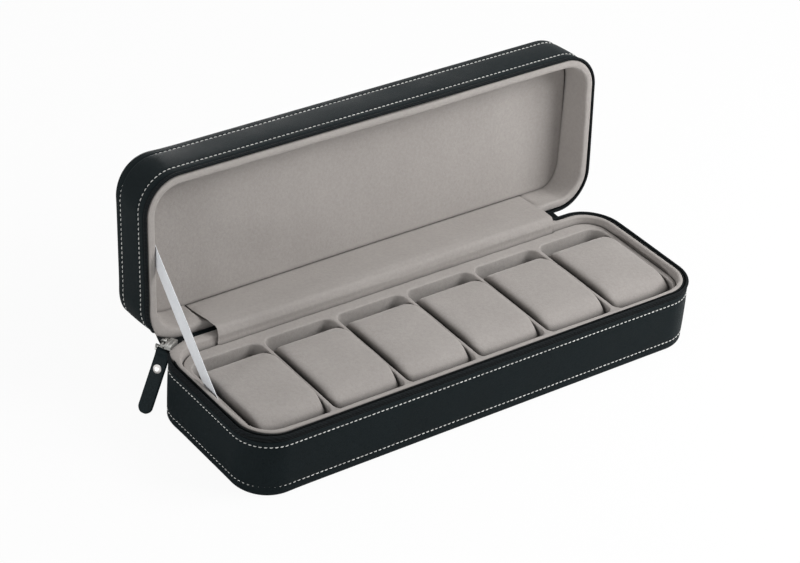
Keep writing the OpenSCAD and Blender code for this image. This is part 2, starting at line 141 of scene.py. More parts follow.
floor_mesh = bpy.data.meshes.new("white_sheet")
floor_mesh.from_pydata([(-9, -9, 0), (9, -9, 0), (9, 9, 0), (-9, 9, 0)], [], [(0, 1, 2, 3)])
floor = bpy.data.objects.new("white_sheet", floor_mesh)
bpy.context.scene.collection.objects.link(floor)
sheet_paper, add, paper_surface, links = shader("white_sheet_paper")
paper_surface.inputs["Base Color"].default_value = (0.86, 0.86, 0.86, 1)
paper_surface.inputs["Roughness"].default_value = 0.9
paper_surface.inputs["Specular IOR Level"].default_value = 0.1
glow = add("Emission", {"Color": (1, 1, 1, 1), "Strength": 1.0})
path = add("LightPath")
share = add("Math", {0: path.outputs["Is Camera Ray"], 1: 0.94}, operation="MULTIPLY")
mix = add("MixShader", {0: share.outputs[0], 1: paper_surface.outputs[0], 2: glow.outputs[0]})
links.new(mix.outputs[0], sheet_paper.node_tree.nodes["Material Output"].inputs[0])
floor_mesh.materials.append(sheet_paper)

# Stiff board pans and foam
# Grey fibre board makes the walls of base and lid, and a pad of white foam lies in the lid.
# They are hidden under leather and velvet, and show only at cut edges.
def fibre_board():
    """Grey pressed fibre: two sizes of noise in the colour, and a fine rough surface."""
    material, add, surface, links = shader("grey_fibre_board")
    place = add("TexCoord").outputs["Object"]
    fleck = add("TexNoise", {"Vector": place, "Scale": 900.0, "Detail": 6.0})
    cloud = add("TexNoise", {"Vector": place, "Scale": 60.0, "Detail": 2.0})
    both = add("Mix", {0: 0.5, 2: fleck.outputs[0], 3: cloud.outputs[0]}, data_type="FLOAT")
    tone = add("ValToRGB", {0: both.outputs[0]})
    tone.color_ramp.elements[0].position, tone.color_ramp.elements[1].position = 0.35, 0.65
    tone.color_ramp.elements[0].color = (0.13, 0.12, 0.11, 1)
    tone.color_ramp.elements[1].color = (0.2, 0.19, 0.17, 1)
    links.new(tone.outputs[0], surface.inputs["Base Color"])
    surface.inputs["Roughness"].default_value = 0.9
    dents = add("Bump", {"Height": fleck.outputs[0], "Strength": 0.4, "Distance": 0.0002})
    links.new(dents.outputs[0], surface.inputs["Normal"])
    return material


def white_foam():
    """Open-celled foam: small round cells darken the colour and dent the surface."""
    material, add, surface, links = shader("white_foam")
    place = add("TexCoord").outputs["Object"]
    cells = add("TexVoronoi", {"Vector": place, "Scale": 1400.0})
    tone = add("ValToRGB", {0: cells.outputs["Distance"]})
    tone.color_ramp.elements[0].color = (0.5, 0.48, 0.43, 1)
    tone.color_ramp.elements[1].position = 0.5
    tone.color_ramp.elements[1].color = (0.72, 0.7, 0.65, 1)
    links.new(tone.outputs[0], surface.inputs["Base Color"])
    surface.inputs["Roughness"].default_value = 0.95
    dents = add("Bump", {"Height": cells.outputs["Distance"], "Strength": 0.6, "Distance": 0.0003})
    links.new(dents.outputs[0], surface.inputs["Normal"])
    return material


def finish_solid(node, material):
    """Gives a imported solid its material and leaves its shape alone."""
    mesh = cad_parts[node].data
    mesh.materials.clear()
    mesh.materials.append(material)


board = fibre_board()
foam = white_foam()
for name in ("base_floor_board", "base_wall_board", "lid_top_board", "lid_wall_board"):
    finish_solid(name, board)
finish_solid("lid_foam_pad", foam)

# Leather of the base
# One band of thin black leather is glued round the board and turned under at its rounded
# lower edge, where the flat bottom panel covers its ends. Two stitch rows pull it in a little.
case_length, case_width, corner = 320.0, 104.0, 23.0
base_height, lid_height = 41.0, 33.8
half_x, half_y = case_length / 2 - corner, case_width / 2 - corner
arc = corner * math.pi / 2
run_lengths = [half_x, arc, 2 * half_y, arc, 2 * half_x, arc, 2 * half_y, arc, half_x]
run_ends = np.concatenate([[0], np.cumsum(run_lengths)])
run_angles = np.radians([90, 90, 180, 180, 270, 270, 360, 360, 450, 450])
run_x = np.array([0, -1, -1, -1, -1, 1, 1, 1, 1, 0]) * half_x
run_y = np.array([1, 1, 1, -1, -1, -1, -1, 1, 1, 1]) * half_y
round_trip = run_ends[-1]


def rim(along, inset):
    """Points of the case's outline, moved inward by inset. Distances start at the middle of the
    back and run to the left, and each point is a corner's centre plus the turned radius. The
    glued case isn't quite even: its rear left corner stands out in a bell curve, and the rear
    right one is drawn in. The lining's inner face stays in place."""
    angle = np.interp(along, run_ends, run_angles)
    uneven = 1.6 * np.exp(-(((along - 158) / 10) ** 2)) - 0.5 * np.exp(-(((along - 648) / 13) ** 2))
    radius = corner - inset + uneven * np.clip(1 - inset / 6.5, 0, 1)
    x = np.interp(along, run_ends, run_x) + radius * np.cos(angle)
    y = np.interp(along, run_ends, run_y) + radius * np.sin(angle)
    return x, y


def stations(spacing, first=0.0, last=round_trip):
    """Distances along the outline, closer together on the four corners."""
    stops = [first] + [s for s in run_ends[1:-1] if first < s < last] + [last]
    pieces = []
    for a, b in zip(stops[:-1], stops[1:]):
        middle = (a + b) / 2
        turning = np.interp(middle + 0.1, run_ends, run_angles) != np.interp(middle, run_ends, run_angles)
        step = min(spacing, 1.3) if turning else spacing
        pieces.append(np.linspace(a, b, max(2, int(round((b - a) / step)) + 1))[:-1])
    return np.concatenate(pieces + [[last]])


def ripple(u, v, size, waves, seed):
    """A gentle unevenness: a sum of sine waves of random direction in u and v, both from 0 to 1.
    Each goes a whole number of times round u, so that the ends meet."""
    dice = np.random.default_rng(seed)
    total = 0 * u + 0 * v
    for turns in dice.integers(waves[0], waves[1], 9):
        total = total + np.sin(2 * np.pi * (turns * u + dice.uniform(-1.5, 1.5) * v + dice.uniform()))
    return size * total / 3


def grid_faces(rows, columns, round_rows, round_columns):
    """Four-sided faces of a grid whose rows or columns may run back into the first."""
    i = np.arange(rows if round_rows else rows - 1)
    j = np.arange(columns if round_columns else columns - 1)
    i, j = (a.ravel() for a in np.meshgrid(i, j, indexing="ij"))
    next_i, next_j = (i + 1) % rows, (j + 1) % columns
    corners = [i * columns + j, next_i * columns + j, next_i * columns + next_j, i * columns + next_j]
    return np.stack(corners, axis=1)


def piece(name, points, faces, material, body, stands_for=(), sharp=40, weld=False):
    """Makes a closed piece from points in millimetres, with its faces turned outwards, and hangs
    it on its body. The sign of its volume tells which way the faces look."""
    points = np.asarray(points, float).reshape(-1, 3) * MM
    faces = [np.asarray(f) for f in (faces if isinstance(faces, list) else [faces])]
    quads = faces[0]
    a, b, c, d = (points[quads[:, k]] for k in range(4))
    volume = np.einsum("ij,ij->", a, np.cross(b, c)) + np.einsum("ij,ij->", a, np.cross(c, d))
    for extra in faces[1:]:
        p = points[extra]
        volume += sum(np.dot(p[0], np.cross(p[k], p[k + 1])) for k in range(1, len(p) - 1))
    polygons = quads.tolist() + [list(map(int, f)) for f in faces[1:]]
    if volume < 0:
        polygons = [p[::-1] for p in polygons]
    mesh = bpy.data.meshes.new(name)
    mesh.from_pydata(points.tolist(), [], polygons)
    if weld:
        work = bmesh.new()
        work.from_mesh(mesh)
        bmesh.ops.remove_doubles(work, verts=work.verts, dist=1e-6)
        bmesh.ops.dissolve_degenerate(work, edges=work.edges, dist=1e-7)
        bmesh.ops.recalc_face_normals(work, faces=work.faces)
        work.to_mesh(mesh)
        work.free()
    mesh.polygons.foreach_set("use_smooth", np.ones(len(mesh.polygons), bool))
    mesh.set_sharp_from_angle(angle=math.radians(sharp))
    mesh.materials.append(material)
    made = bpy.data.objects.new(name, mesh)
    bpy.context.scene.collection.objects.link(made)
    if body:
        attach(made, body)
    if stands_for:
        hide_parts(*stands_for)
    return made


def turned(x, y, radius, first, last, steps):
    """Points of an arc in a wall's profile, from one angle in degrees to another."""
    a = np.radians(np.linspace(first, last, steps))
    return np.stack([x + radius * np.cos(a), y + radius * np.sin(a)], axis=1)


def wall_ring(along, profile, puff=None):
    """Carries a closed profile of (inset, height) round the case. puff gives, for every station
    and profile point, how far the surface stands out and up. Returns points and faces."""
    closed = along[-1] - along[0] > round_trip - 1e-6
    if closed:
        along = along[:-1]
    inset = np.broadcast_to(profile[:, 0], (len(along), len(profile)))
    height = np.broadcast_to(profile[:, 1], inset.shape)
    if puff is not None:
        out, lift = puff(along[:, None] / round_trip, height, inset)
        inset, height = inset - out, height + lift
    x, y = rim(along[:, None], inset)
    points = np.stack([x, y, height + 0 * x], axis=2)
    faces = [grid_faces(len(along), len(profile), closed, True)]
    if not closed:
        ends = np.arange(len(profile))
        faces += [ends, (len(along) - 1) * len(profile) + ends[::-1]]
    return points, faces


hinge_y, hinge_z = 54.4, 36.6
lid_angle = math.radians(94.5)


def onto_lid(points):
    """Turns points drawn from the lid's flat face, as the base is from its own, onto the open
    lid: the height is mirrored about the closed case, then turned back about the hinge."""
    x, y, height = np.moveaxis(np.asarray(points, float), -1, 0)
    back, rise = y - hinge_y, base_height + lid_height - height - hinge_z
    return np.stack([
        x,
        hinge_y + back * math.cos(lid_angle) + rise * math.sin(lid_angle),
        hinge_z - back * math.sin(lid_angle) + rise * math.cos(lid_angle),
    ], axis=-1)


def black_leather(name, seed, lighter=1.0):
    """Smooth blue-black split leather: pebbles a third of a millimetre wide with fine creases
    between them, cloudy gloss, and a little rubbed grey where the colour noise is high."""
    material, add, surface, links = shader(name)
    place = add("TexCoord").outputs["Object"]
    moved = add("Mapping", {"Vector": place, "Location": (seed * 0.37, seed * 0.11, 0)}).outputs[0]
    bend = add("TexNoise", {"Vector": moved, "Scale": 700.0, "Detail": 2.0})
    shift = add("VectorMath", {0: bend.outputs["Color"], 1: (0.0011, 0.0011, 0.0011)}, operation="MULTIPLY")
    bent = add("VectorMath", {0: moved, 1: shift.outputs[0]}, operation="ADD")
    pebbles = add("TexVoronoi", {"Vector": bent.outputs[0], "Scale": 1150.0}, feature="SMOOTH_F1")
    cracks = add("TexVoronoi", {"Vector": bent.outputs[0], "Scale": 1150.0}, feature="DISTANCE_TO_EDGE")
    crease = add("MapRange", {0: cracks.outputs["Distance"], 1: 0.0, 2: 0.14, 3: 0.0, 4: 1.0})
    cloud = add("TexNoise", {"Vector": moved, "Scale": 38.0, "Detail": 5.0, "Roughness": 0.6})
    fine = add("TexNoise", {"Vector": moved, "Scale": 2600.0, "Detail": 3.0})
    tone = add("ValToRGB", {0: cloud.outputs[0]})
    tone.color_ramp.elements[0].position, tone.color_ramp.elements[1].position = 0.3, 0.75
    tone.color_ramp.elements[0].color = tuple(lighter * c for c in (0.0052, 0.0094, 0.0108)) + (1,)
    tone.color_ramp.elements[1].color = tuple(lighter * c for c in (0.0088, 0.014, 0.016)) + (1,)
    deep = (0.0025, 0.005, 0.006, 1)
    dark = add("Mix", {0: crease.outputs[0], 6: deep, 7: tone.outputs[0]}, data_type="RGBA")
    links.new(dark.outputs[2], surface.inputs["Base Color"])
    gloss = add("MapRange", {0: cloud.outputs[0], 1: 0.3, 2: 0.7, 3: 0.46, 4: 0.6})
    links.new(gloss.outputs[0], surface.inputs["Roughness"])
    surface.inputs["Specular IOR Level"].default_value = 0.07
    swell = add("Math", {0: crease.outputs[0], 1: fine.outputs[0]}, operation="ADD")
    height = add("Math", {0: swell.outputs[0], 1: pebbles.outputs["Distance"]}, operation="SUBTRACT")
    grain = add("Bump", {"Height": height.outputs[0], "Strength": 0.28, "Distance": 0.00012})
    slow = add("Bump", {
        "Height": cloud.outputs[0], "Strength": 0.25, "Distance": 0.0006, "Normal": grain.outputs[0],
    })
    links.new(slow.outputs[0], surface.inputs["Normal"])
    return material


leather = black_leather("black_leather", 1)
leather_thick, edge_round = 1.2, 2.6
base_leather_top = base_height - 4.4
base_stitch_rows = (6.3, base_height - 7.7)
stitch_dip = 0.24
bulge_at, bulge_reach, bulge_top = 254, 15, 20


def band_profile(top, rows):
    """Closed profile of a leather band from its cut top edge down to the turned lower edge.
    Extra points lie at the stitch rows, so that the leather can dip there."""
    r = leather_thick / 2
    heights = np.concatenate([np.linspace(row - 1.6, row + 1.6, 9) for row in rows])
    heights = np.concatenate([heights, np.linspace(edge_round, top - r, 12)])
    heights = np.unique(np.round(heights[(heights >= edge_round) & (heights <= top - r)], 3))[::-1]
    outer = np.stack([0 * heights, heights], axis=1)
    low = edge_round
    return np.concatenate([
        turned(r, top - r, r, 0, 180, 7)[:-1],
        outer,
        turned(low, low, low, 180, 270, 9)[1:],
        turned(low, low, low - leather_thick, 270, 180, 9),
    ])


def band_puff(rows, top, seed, near_plate=0.0):
    """How far a leather band stands out: it swells softly between the stitch rows, dips by a
    quarter of a millimetre along each row, and is a little uneven along the wall. At the front
    left corner it can stand out near the flat plate."""
    def puff(u, height, inset):
        outside = np.clip(1 - inset / 0.6, 0, 1) * np.clip((height - 1.5) / 3, 0, 1)
        low, high = rows
        middle = np.clip((height - low) * (high - height) / ((high - low) / 2) ** 2, 0, 1)
        out = 0.32 * np.sqrt(middle) + ripple(u, height / 40, 0.05, (3, 22), seed) * middle
        for row in rows:
            out = out - stitch_dip * np.exp(-(((height - row) / 0.62) ** 2))
        out = out + 0.12 * np.exp(-(((height - top + 1.2) / 0.8) ** 2))
        bulge = near_plate * np.exp(-(((u * round_trip - bulge_at) / bulge_reach) ** 2))
        return out * outside + bulge * np.clip(1 - height / bulge_top, 0, 1), 0
    return puff


base_band_points, base_band_faces = wall_ring(
    stations(2.2),
    band_profile(base_leather_top, base_stitch_rows),
    band_puff(base_stitch_rows, base_leather_top, 11, 0.7),
)
piece("base_leather_band", base_band_points, base_band_faces, leather, "base", ["base_side_cover"])


panel_edge, panel_round = 2.7, 0.5


def plate(profile, sag=None):
    """A closed plate with the case's outline. Each profile row is (inset, share, height): the share
    is 1 up to the rounded corners' centres and falls to 0 at the middle line of the plate."""
    along = stations(4.0)[:-1]
    rows = []
    for inset, share, height in profile:
        x, y = rim(along, min(inset, corner - 0.001))
        rows.append(np.stack([x * (1 - (1 - share) * half_y / half_x), y * share, height + 0 * x], axis=1))
    points = np.stack(rows)
    if sag is not None:
        points[..., 2] += sag(points[..., 0], points[..., 1], points[..., 2])
    return points, grid_faces(len(rows), len(along), False, True)


def crowned(crown, edge, low, high):
    """Lift of a padded plate's upper face: crown * (1 - |x/a|^6) * (1 - |y/b|^4), with a and b
    from the middle to the edge, so that it is nothing at the edge and almost flat within."""
    def lift(x, y, z):
        a, b = half_x + corner - edge, half_y + corner - edge
        return crown * (1 - (x / a) ** 6) * (1 - (y / b) ** 4) * (z - low) / (high - low)
    return lift


def plate_profile(edge, low, high, radius):
    """Rows of a plate from the middle of its lower face round the rounded edge to the middle of
    its upper face."""
    insets = np.linspace(edge + radius, corner, 9)
    shares = np.linspace(1, 0, 7)[1:]
    flat_low = [(t, 1, low) for t in insets[::-1]]
    inner_low = [(corner, k, low) for k in shares[::-1]]
    r = min(radius, (high - low) / 2 - 0.01)
    bend = np.linspace(0, math.pi / 2, 5)
    side = [(edge + radius - radius * math.sin(a), 1, low + r - r * math.cos(a)) for a in bend[1:]]
    side += [(edge + radius - radius * math.cos(a), 1, high - r + r * math.sin(a)) for a in bend]
    top = [(t, 1, high) for t in insets[1:]] + [(corner, k, high) for k in shares]
    return inner_low + flat_low + side + top


bottom_points, bottom_faces = plate(plate_profile(panel_edge, 0.0, leather_thick, panel_round))
piece(
    "base_bottom_panel", bottom_points, bottom_faces, leather, "base",
    ["base_bottom_cover"], weld=True
)

# Stitching
# Off-white waxed thread sews leather to board in two rows round the base and two round the
# lid. Each stitch is a short plump bar, a little slanted, that sinks into the leather at its ends.
def waxed_thread():
    """Off-white twisted thread: fine slanting bands for its strands, and some soiling."""
    material, add, surface, links = shader("off_white_thread")
    place = add("TexCoord").outputs["Object"]
    strands = add("TexWave", {"Vector": place, "Scale": 900.0, "Distortion": 3.0, "Detail": 1.0})
    soil = add("TexNoise", {"Vector": place, "Scale": 90.0, "Detail": 3.0})
    tone = add("ValToRGB", {0: soil.outputs[0]})
    tone.color_ramp.elements[0].position, tone.color_ramp.elements[1].position = 0.3, 0.62
    tone.color_ramp.elements[0].color = (0.55, 0.55, 0.53, 1)
    tone.color_ramp.elements[1].color = (0.82, 0.82, 0.79, 1)
    links.new(tone.outputs[0], surface.inputs["Base Color"])
    surface.inputs["Roughness"].default_value = 0.7
    twist = add("Bump", {"Height": strands.outputs[0], "Strength": 0.5, "Distance": 0.00008})
    links.new(twist.outputs[0], surface.inputs["Normal"])
    return material


thread = waxed_thread()
stitch_pitch, stitch_length, stitch_half, stitch_slant = 3.02, 2.05, 0.29, 0.1


def stitch_row(height, first, last, seed):
    """Points and faces of a row of stitches. Each is five rings of six points along a flat bow:
    it stands out in the middle and goes under the leather at both ends."""
    count = int((last - first) / stitch_pitch)
    pitch = (last - first) / count
    dice = np.random.default_rng(seed)
    middle = first + (np.arange(count) + 0.5) * pitch + dice.normal(0, 0.05, count)
    slant = stitch_slant + dice.normal(0, 0.04, count)
    step = np.linspace(-1, 1, 5)
    size = np.sqrt(np.clip(1.08 - step ** 2, 0.02, 1)) * stitch_half
    turn = np.arange(6) * np.pi / 3
    along = middle[:, None, None] + step[None, :, None] * stitch_length / 2 + 0 * turn
    tilt = slant[:, None, None] * step[None, :, None] * stitch_length / 2
    rise = height + tilt + (size[:, None] * np.sin(turn))[None]
    out = 0.2 * (1 - step ** 2)[None, :, None] - stitch_dip + (size[:, None] * np.cos(turn))[None] + 0 * along
    x, y = rim(along % round_trip, -out)
    points = np.stack([x, y, rise + 0 * x], axis=3)
    caps = np.array([[0, 1, 2, 3], [0, 3, 4, 5], [27, 26, 25, 24], [29, 28, 27, 24]])
    one = np.concatenate([grid_faces(5, 6, False, True), caps])
    faces = (one[None] + 30 * np.arange(count)[:, None, None]).reshape(-1, 4)
    return points, faces


spine_half = 135.0
for name, height, first, last, part, seed in (
    ("base_edge_stitching", 6.3, 0, round_trip, "base", 21),
    ("base_rim_stitching", base_height - 7.7, spine_half + 1, round_trip - spine_half - 1, "base", 22),
    ("lid_edge_stitching", 6.3, 0, round_trip, "lid", 23),
    ("lid_rim_stitching", lid_height - 8.2, spine_half + 1, round_trip - spine_half - 1, "lid", 24),
):
    row_points, row_faces = stitch_row(height, first, last, seed)
    if part == "lid":
        row_points = onto_lid(row_points)
    piece(name.replace("stitching", "thread"), row_points, row_faces, thread, part, [name])

# Velvet lining of the base
# A padded wall of warm grey velvet is glued inside the board and folded over at the rim into
# a soft round lip. A thin sheet of the same velvet covers the floor.
def grey_velvet(name, seed, gap=0.003, painted_shade_darkest=0.5):
    """Short warm grey pile: cloudy patches where the nap lies another way, fine mottling, a
    bump of single tufts, and a pale sheen at grazing angles. Painted shade: the colour gets
    darker where something stands closer than gap, down to the given darkest share."""
    material, add, surface, links = shader(name)
    place = add("TexCoord").outputs["Object"]
    moved = add("Mapping", {"Vector": place, "Location": (seed * 0.23, seed * 0.17, seed * 0.05)}).outputs[0]
    brushed = add("Mapping", {"Vector": moved, "Scale": (1.0, 1.0, 0.45)}).outputs[0]
    patch = add("TexNoise", {"Vector": brushed, "Scale": 24.0, "Detail": 4.0, "Roughness": 0.55})
    mottle = add("TexNoise", {"Vector": moved, "Scale": 520.0, "Detail": 4.0})
    tuft = add("TexNoise", {"Vector": moved, "Scale": 2300.0, "Detail": 3.0})
    wide = add("ValToRGB", {0: patch.outputs[0]})
    wide.color_ramp.elements[0].position, wide.color_ramp.elements[1].position = 0.28, 0.72
    wide.color_ramp.elements[0].color = (0.335, 0.312, 0.296, 1)
    wide.color_ramp.elements[1].color = (0.368, 0.344, 0.327, 1)
    speck = add("MapRange", {0: mottle.outputs[0], 1: 0.3, 2: 0.7, 3: 0.955, 4: 1.045})
    pile = add("MapRange", {0: tuft.outputs[0], 1: 0.3, 2: 0.7, 3: 0.93, 4: 1.06})
    both = add("Math", {0: speck.outputs[0], 1: pile.outputs[0]}, operation="MULTIPLY")
    # Painted shade: ambient occlusion darkens the colour in crevices and narrow gaps.
    painted_shade_ao = add("AmbientOcclusion", {"Distance": gap})
    painted_shade_ao.samples = 8
    painted_crevice_shade = add("MapRange", {0: painted_shade_ao.outputs["AO"], 1: 0.25, 2: 0.85, 3: painted_shade_darkest, 4: 1.0})
    mottle_and_painted_shade = add("Math", {0: both.outputs[0], 1: painted_crevice_shade.outputs[0]}, operation="MULTIPLY")
    tone = add("VectorMath", {0: wide.outputs[0], "Scale": mottle_and_painted_shade.outputs[0]}, operation="SCALE")
    links.new(tone.outputs[0], surface.inputs["Base Color"])
    surface.inputs["Roughness"].default_value = 0.95
    surface.inputs["Specular IOR Level"].default_value = 0.12
    surface.inputs["Sheen Weight"].default_value = 0.35
    surface.inputs["Sheen Roughness"].default_value = 0.45
    surface.inputs["Sheen Tint"].default_value = (0.9, 0.87, 0.84, 1)
    tufts = add("Bump", {"Height": tuft.outputs[0], "Strength": 0.35, "Distance": 0.00025})
    soft = add("Bump", {
        "Height": mottle.outputs[0], "Strength": 0.25, "Distance": 0.0006, "Normal": tufts.outputs[0],
    })
    links.new(soft.outputs[0], surface.inputs["Normal"])
    return material


velvet = grey_velvet("grey_velvet", 1)
wall_depth, lining_at, rim_gap = 6.5, 3.4, 0.15


def lip_profile(outer, inner, top, low, behind, square):
    """Closed profile of a padded wall: up its inner face, over the lip, and down behind. The lip
    is half of |x/r|^p + |y/r|^p = 1 with r half the lip's width and p = 2 / square. A lip wider
    than the wall curls back under itself."""
    r = (inner - outer) / 2
    middle = (inner + outer) / 2
    last = 180 if outer >= behind else 360 - math.degrees(math.acos((behind - middle) / r))
    lip = turned(0, 0, 1, 0, last, 17)
    lip = [middle, top - r] + r * np.sign(lip) * np.abs(lip) ** np.where(lip[:, 1:] < -1e-9, 1, square)
    faces_in = np.linspace(low + 0.4, top - r, 14)[:-1]
    faces_out = np.linspace(lip[-1, 1] - 0.5, low, 5)
    return np.concatenate([
        [[inner - 0.4, low]],
        np.stack([inner + 0 * faces_in, faces_in], axis=1),
        lip,
        np.stack([behind + 0 * faces_out, faces_out], axis=1),
    ])


def lining_puff(low, top, lip_outer, seed, swell, lean):
    """The velvet is a little uneven along the wall, most on the lip and least at the foot. Behind
    the hinge and on to the rear left corner its lip is pulled out over the rim as far as the
    leather, and stands up a little.
    swell(along, height) adds how far the inner face bulges into the case, and lean lists, at
    distances along the outline, how far the rim as a whole is pushed out."""
    def puff(u, height, inset):
        share = np.clip((height - low) / (top - low), 0, 1) * np.clip((inset - wall_depth + 2.5) / 2.5, 0, 1)
        out = (ripple(u, height / 30, 0.11, (4, 40), seed) + 0.16 * np.sin(np.pi * share)) * share
        along = u * round_trip
        on_left = np.clip((166 - along) / 12, 0, 1)
        on_right = np.clip((along - round_trip + 127) / 5, 0, 1)
        rear = np.where(along < round_trip / 2, on_left, on_right)
        rear = rear ** 2 * (3 - 2 * rear) * np.clip((height - top + 3.2) / 1.2, 0, 1)
        away = np.clip((wall_depth - 0.8 - inset) / (wall_depth - 0.8 - lip_outer), 0, 1)
        out = out + rear * away * (lip_outer - 0.1)
        out = out - swell(along, height) * np.clip((inset - 4.5) / 2, 0, 1)
        out = out + np.interp(along, *lean) * np.clip((height - top + 8) / 6, 0, 1)
        left = np.clip((172 - along) / 20, 0, 1)
        return out, (0.35 + 0.2 * left) * rear * np.clip((wall_depth - inset) / 1.5, 0, 1)
    return puff


base_lean = np.array([
    (0, 0.4), (100, 1.0), (134, 1.2), (158, 0.5), (172, 0.6), (212, 0.6), (224, 0), (240, -0.7),
    (262, -0.8), (276, -0.5), (290, -0.1), (440, 0), (476, 0.6), (500, 0.9), (518, 1.1), (532, 1.1),
    (544, 0.6), (578, 0.4), (620, 0), (640, -0.3), (652, -0.1), (670, 0.4), (690, 0.6), (809, 0.4),
]).T
lid_lean = np.array([
    (0, 0.2), (100, 0.6), (118, 1.0), (128, 1.1), (145, 0.6), (164, 0.3), (176, 0), (225, 0.2),
    (240, -0.2), (262, -0.3), (280, -0.1), (395, -0.25), (425, -0.6), (445, -0.6), (470, 0), (530, 0.3),
    (545, 0), (600, 0), (626, -0.4), (640, -0.6), (662, -1.1), (700, -1.1), (809, 0.2),
]).T
lining_points, lining_faces = wall_ring(
    stations(2.0), lip_profile(3.45, wall_depth, base_height - rim_gap, 3.5, lining_at, 0.85),
    lining_puff(4, base_height, 3.45, 31, lambda along, height: 0 * height, base_lean)
)
piece("base_velvet_wall", lining_points, lining_faces, velvet, "base", ["base_lining_wall"])
finish_solid("base_floor_lining", velvet)

# Zip halves
# Each half is a folded strip of black woven tape. Its edge carries a nylon coil, whose teeth
# stand out a little beyond the leather. The halves end beside the leather spine at the back.
def softened(corners, reach, steps=4):
    """A closed profile with its corners rounded: each is replaced by a quadratic curve that
    starts and ends at most the given reach away from it."""
    corners = np.asarray(corners, float)
    before, after = np.roll(corners, 1, axis=0), np.roll(corners, -1, axis=0)
    s = np.linspace(0, 1, steps)[:, None, None]
    ends = []
    for other in (before, after):
        way = other - corners
        size = np.linalg.norm(way, axis=1, keepdims=True)
        ends.append(corners + way * np.minimum(reach / size, 0.48))
    curve = (1 - s) ** 2 * ends[0] + 2 * s * (1 - s) * corners + s ** 2 * ends[1]
    return curve.transpose(1, 0, 2).reshape(-1, 2)


def black_weave(name, size, dark, pale):
    """Black woven or moulded nylon: slanting ribs in the colour and the bump, with lint."""
    material, add, surface, links = shader(name)
    place = add("TexCoord").outputs["Object"]
    ribs = add("TexWave", {
        "Vector": place, "Scale": size, "Distortion": 1.2, "Detail": 2.0,
    }, bands_direction="DIAGONAL")
    lint = add("TexNoise", {"Vector": place, "Scale": 420.0, "Detail": 4.0})
    both = add("Math", {0: ribs.outputs[0], 1: lint.outputs[0]}, operation="MULTIPLY")
    tone = add("ValToRGB", {0: both.outputs[0]})
    tone.color_ramp.elements[0].position, tone.color_ramp.elements[1].position = 0.05, 0.6
    tone.color_ramp.elements[0].color = (*dark, 1)
    tone.color_ramp.elements[1].color = (*pale, 1)
    links.new(tone.outputs[0], surface.inputs["Base Color"])
    surface.inputs["Roughness"].default_value = 0.75
    surface.inputs["Specular IOR Level"].default_value = 0.1
    relief = add("Bump", {"Height": both.outputs[0], "Strength": 0.6, "Distance": 0.0002})
    links.new(relief.outputs[0], surface.inputs["Normal"])
    return material


tape_weave = black_weave("black_zip_tape", 320.0, (0.002, 0.003, 0.0035), (0.008, 0.01, 0.011))
coil_nylon = black_weave("black_zip_coil", 240.0, (0.003, 0.004, 0.005), (0.009, 0.012, 0.013))
zip_reach = {"base": (138.2, round_trip - 124), "lid": (150.0, round_trip - 124)}
coil_reach = {"base": (151.0, round_trip - 126), "lid": (158.0, round_trip - 126)}
tooth_pitch = 1.26
base_tape_profile = softened([
    (0.1, 36.75), (0.9, 36.75), (0.9, 37.95), (3.1, 37.95),
    (3.1, 40.5), (2.3, 40.5), (2.3, 38.75), (0.1, 38.75),
], 0.25)
lid_tape_profile = softened(
    [(0.1, 30.55), (0.9, 30.55), (0.9, 30.8), (1.3, 30.8), (1.3, 31.55), (0.1, 31.55)], 0.2
)


def coil_ring(height, first, last):
    """A bead of two millimetres along the rim whose surface swells once in every tooth, and a
    little earlier on its upper side, as a wound coil does."""
    along = stations(0.42, first, last)
    turn = np.linspace(0, 2 * np.pi, 9)[:-1]
    radius = 0.92 + 0.08 * np.cos(2 * np.pi * along[:, None] / tooth_pitch - 2 * turn)
    x, y = rim(along[:, None], 0.4 - radius * np.cos(turn))
    points = np.stack([x, y, height + radius * np.sin(turn)], axis=2)
    ends = np.arange(8)
    return points, [grid_faces(len(along), 8, False, True), ends, (len(along) - 1) * 8 + ends[::-1]]


for part, profile, coil_height in (("base", base_tape_profile, 39.85), ("lid", lid_tape_profile, 32.65)):
    tape_points, tape_faces = wall_ring(stations(1.6, *zip_reach[part]), profile)
    coil_points, coil_faces = coil_ring(coil_height, *coil_reach[part])
    if part == "lid":
        tape_points, coil_points = onto_lid(tape_points), onto_lid(coil_points)
    piece(f"{part}_tape", tape_points, tape_faces, tape_weave, part, [f"{part}_zip_tape"])
    piece(f"{part}_coil", coil_points, coil_faces, coil_nylon, part, [f"{part}_zip_coil"])


def sheet_faces(n, m):
    """Faces of a thin sheet on an n by m grid: its front, its back, whose points come after all
    those of the front, and the strip that joins them round the edge."""
    front = grid_faces(n, m, False, False)
    loop = np.concatenate([
        np.arange(m),
        np.arange(2, n + 1) * m - 1,
        (n - 1) * m + np.arange(m - 1)[::-1],
        np.arange(1, n - 1)[::-1] * m,
    ])
    following = np.roll(loop, -1)
    strip = np.stack([following, loop, loop + n * m, following + n * m], axis=1)
    return np.concatenate([front, front[:, ::-1] + n * m, strip])


def thin_sheet(points, thick):
    """A thin closed sheet on both sides of a grid of points. The normals come from the grid's
    differences, and the sheet gets thinner at its edges, so that they look rounded."""
    across, down = np.gradient(points, axis=0), np.gradient(points, axis=1)
    normal = np.cross(across, down)
    normal /= np.linalg.norm(normal, axis=2, keepdims=True)
    n, m = points.shape[:2]
    i, j = np.meshgrid(np.arange(n), np.arange(m), indexing="ij")
    edge = np.minimum(np.minimum(i, n - 1 - i), np.minimum(j, m - 1 - j))
    half = thick / 2 * np.where(edge == 0, 0.35, 1)[..., None]
    return np.stack([points + half * normal, points - half * normal]), sheet_faces(n, m)


